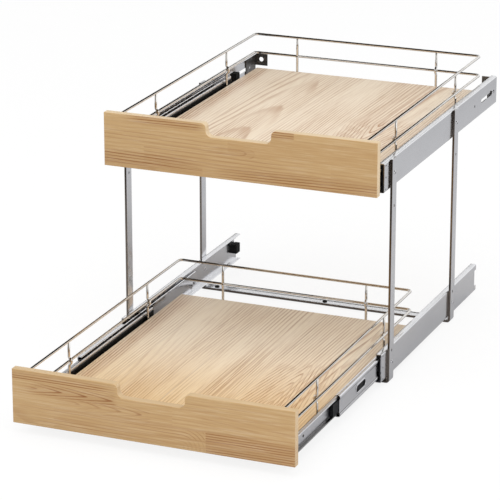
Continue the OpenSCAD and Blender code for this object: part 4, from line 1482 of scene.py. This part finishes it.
class ORGANISER_OT_studio(Operator):
    """Pale floor, soft lamps and the camera"""

    bl_idname = "organiser.studio"
    bl_label = "Studio"

    def execute(self, context):
        sizes = context.scene.organiser_studio
        self.floor()
        self.world(context.scene, sizes.ambient)
        for name, low, high, shade in FLAGS:
            self.flag(name, low, high, shade)
        self.lamp("overhead_lamp", (0.25, -0.9, 2.4), (0.0, -0.1, 0.0), (2.6, 2.6), sizes.overhead, False)
        self.lamp("right_lamp", (2.6, -0.9, 1.3), (0.0, -0.1, 0.15), (1.6, 1.8), sizes.side, True)
        self.camera(context.scene, sizes)
        context.scene.view_settings.view_transform = "Standard"
        return {"FINISHED"}

    @staticmethod
    def camera(scene, sizes):
        """The camera, with its lens, place and turn from the settings."""
        data = bpy.data.cameras.new("camera")
        data.lens = sizes.lens
        data.sensor_width = 36.0
        data.sensor_fit = "HORIZONTAL"
        data.clip_start = 0.05
        data.clip_end = 50.0
        camera = bpy.data.objects.new("camera", data)
        camera.location = sizes.camera
        camera.rotation_euler = (math.pi / 2 - sizes.elevation, 0.0, sizes.azimuth)
        scene.collection.objects.link(camera)
        scene.camera = camera

    @staticmethod
    def white_seen(tree, shader, share):
        """Mixes a shader with plain white where the camera, gloss or glass looks at it."""
        path = tree.nodes.new("ShaderNodeLightPath")
        seen = Field(tree, path.outputs["Is Camera Ray"])
        seen = seen.larger(Field(tree, path.outputs["Is Glossy Ray"]))
        seen = seen.larger(Field(tree, path.outputs["Is Transmission Ray"])) * share
        mix = tree.nodes.new("ShaderNodeMixShader")
        tree.links.new(seen.socket, mix.inputs[0])
        tree.links.new(shader, mix.inputs[1])
        return mix

    def floor(self):
        """A pale floor just under the straps, nearly white where it is seen."""
        finish = Finish("studio_floor")
        material = finish.surface(Base_Color=(0.94, 0.94, 0.94, 1.0), Roughness=0.9)
        tree = finish.tree
        mix = self.white_seen(tree, finish.shader.outputs[0], 0.86)
        glow = tree.nodes.new("ShaderNodeEmission")
        tree.links.new(glow.outputs[0], mix.inputs[2])
        output = next(node for node in tree.nodes if node.type == "OUTPUT_MATERIAL")
        tree.links.new(mix.outputs[0], output.inputs["Surface"])
        points = np.column_stack([rectangle((-9.0, -9.0), (9.0, 9.0)), np.full(4, -0.0006)])
        floor = make_object("floor", (points, [[0, 1, 2, 3]]))
        floor.data.materials.append(material)

    @staticmethod
    def flag(name, low, high, shade):
        """A card that only reflections see, upright or level."""
        corners = [low, (high[0], low[1], low[2]), high, (low[0], high[1], high[2])]
        finish = Finish(name)
        material = finish.surface(Base_Color=(*shade, 1.0), Roughness=1.0, Specular_IOR_Level=0.0)
        card = make_object(name, (np.array(corners), [[0, 1, 2, 3]]))
        card.data.materials.append(material)
        for ray in ("camera", "diffuse", "transmission", "volume_scatter", "shadow"):
            setattr(card, "visible_" + ray, False)

    def world(self, scene, ambient):
        """Even light from all round, and plain white where the world is seen."""
        world = bpy.data.worlds.new("white_room")
        world.use_nodes = True
        tree = world.node_tree
        tree.nodes.clear()
        even = tree.nodes.new("ShaderNodeBackground")
        even.inputs["Strength"].default_value = ambient
        white = tree.nodes.new("ShaderNodeBackground")
        mix = self.white_seen(tree, even.outputs[0], 1.0)
        tree.links.new(white.outputs[0], mix.inputs[2])
        for node in (even, white):
            node.inputs["Color"].default_value = (1.0, 1.0, 1.0, 1.0)
        output = tree.nodes.new("ShaderNodeOutputWorld")
        tree.links.new(mix.outputs[0], output.inputs["Surface"])
        scene.world = world

    @staticmethod
    def lamp(name, place, target, size, power, glossy):
        """A soft lamp that faces a target, and shows in reflections or not."""
        data = bpy.data.lights.new(name, "AREA")
        data.shape = "RECTANGLE"
        data.size, data.size_y = size
        data.energy = power
        lamp = bpy.data.objects.new(name, data)
        lamp.location = place
        way = np.array(place) - np.array(target)
        flat = math.hypot(way[0], way[1])
        lamp.rotation_euler = (math.atan2(flat, way[2]), 0.0, math.atan2(way[0], -way[1]))
        lamp.visible_glossy = glossy
        bpy.context.scene.collection.objects.link(lamp)


class ORGANISER_PT_looks(Panel):
    """Lists the operators that dress the organiser"""

    bl_label = "Organiser"
    bl_idname = "ORGANISER_PT_looks"
    bl_space_type = "VIEW_3D"
    bl_region_type = "UI"
    bl_category = "Organiser"

    def draw(self, context):
        for operator in OPERATORS:
            self.layout.operator(operator.bl_idname)


SETTINGS = {
    "organiser_wood": WoodSettings,
    "organiser_wire": WireSettings,
    "organiser_steel": SteelSettings,
    "organiser_studio": StudioSettings,
}
OPERATORS = (
    ORGANISER_OT_studio,
    ORGANISER_OT_front_panels,
    ORGANISER_OT_tray_boards,
    ORGANISER_OT_gallery_wires,
    ORGANISER_OT_hoops,
    ORGANISER_OT_rails,
    ORGANISER_OT_moving_members,
    ORGANISER_OT_fasteners,
    ORGANISER_OT_carried_nodes,
)


def register():
    """Registers the classes and hangs the settings on the scene."""
    for group in (*SETTINGS.values(), *OPERATORS, ORGANISER_PT_looks):
        bpy.utils.register_class(group)
    for name, group in SETTINGS.items():
        setattr(bpy.types.Scene, name, PointerProperty(type=group))


def unregister():
    """Takes the settings and the classes away again."""
    for name in SETTINGS:
        delattr(bpy.types.Scene, name)
    for group in reversed((*SETTINGS.values(), *OPERATORS, ORGANISER_PT_looks)):
        bpy.utils.unregister_class(group)


def main():
    """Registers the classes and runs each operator."""
    register()
    for operator in OPERATORS:
        group, name = operator.bl_idname.split(".")
        getattr(getattr(bpy.ops, group), name)()


if __name__ == "__main__":
    main()
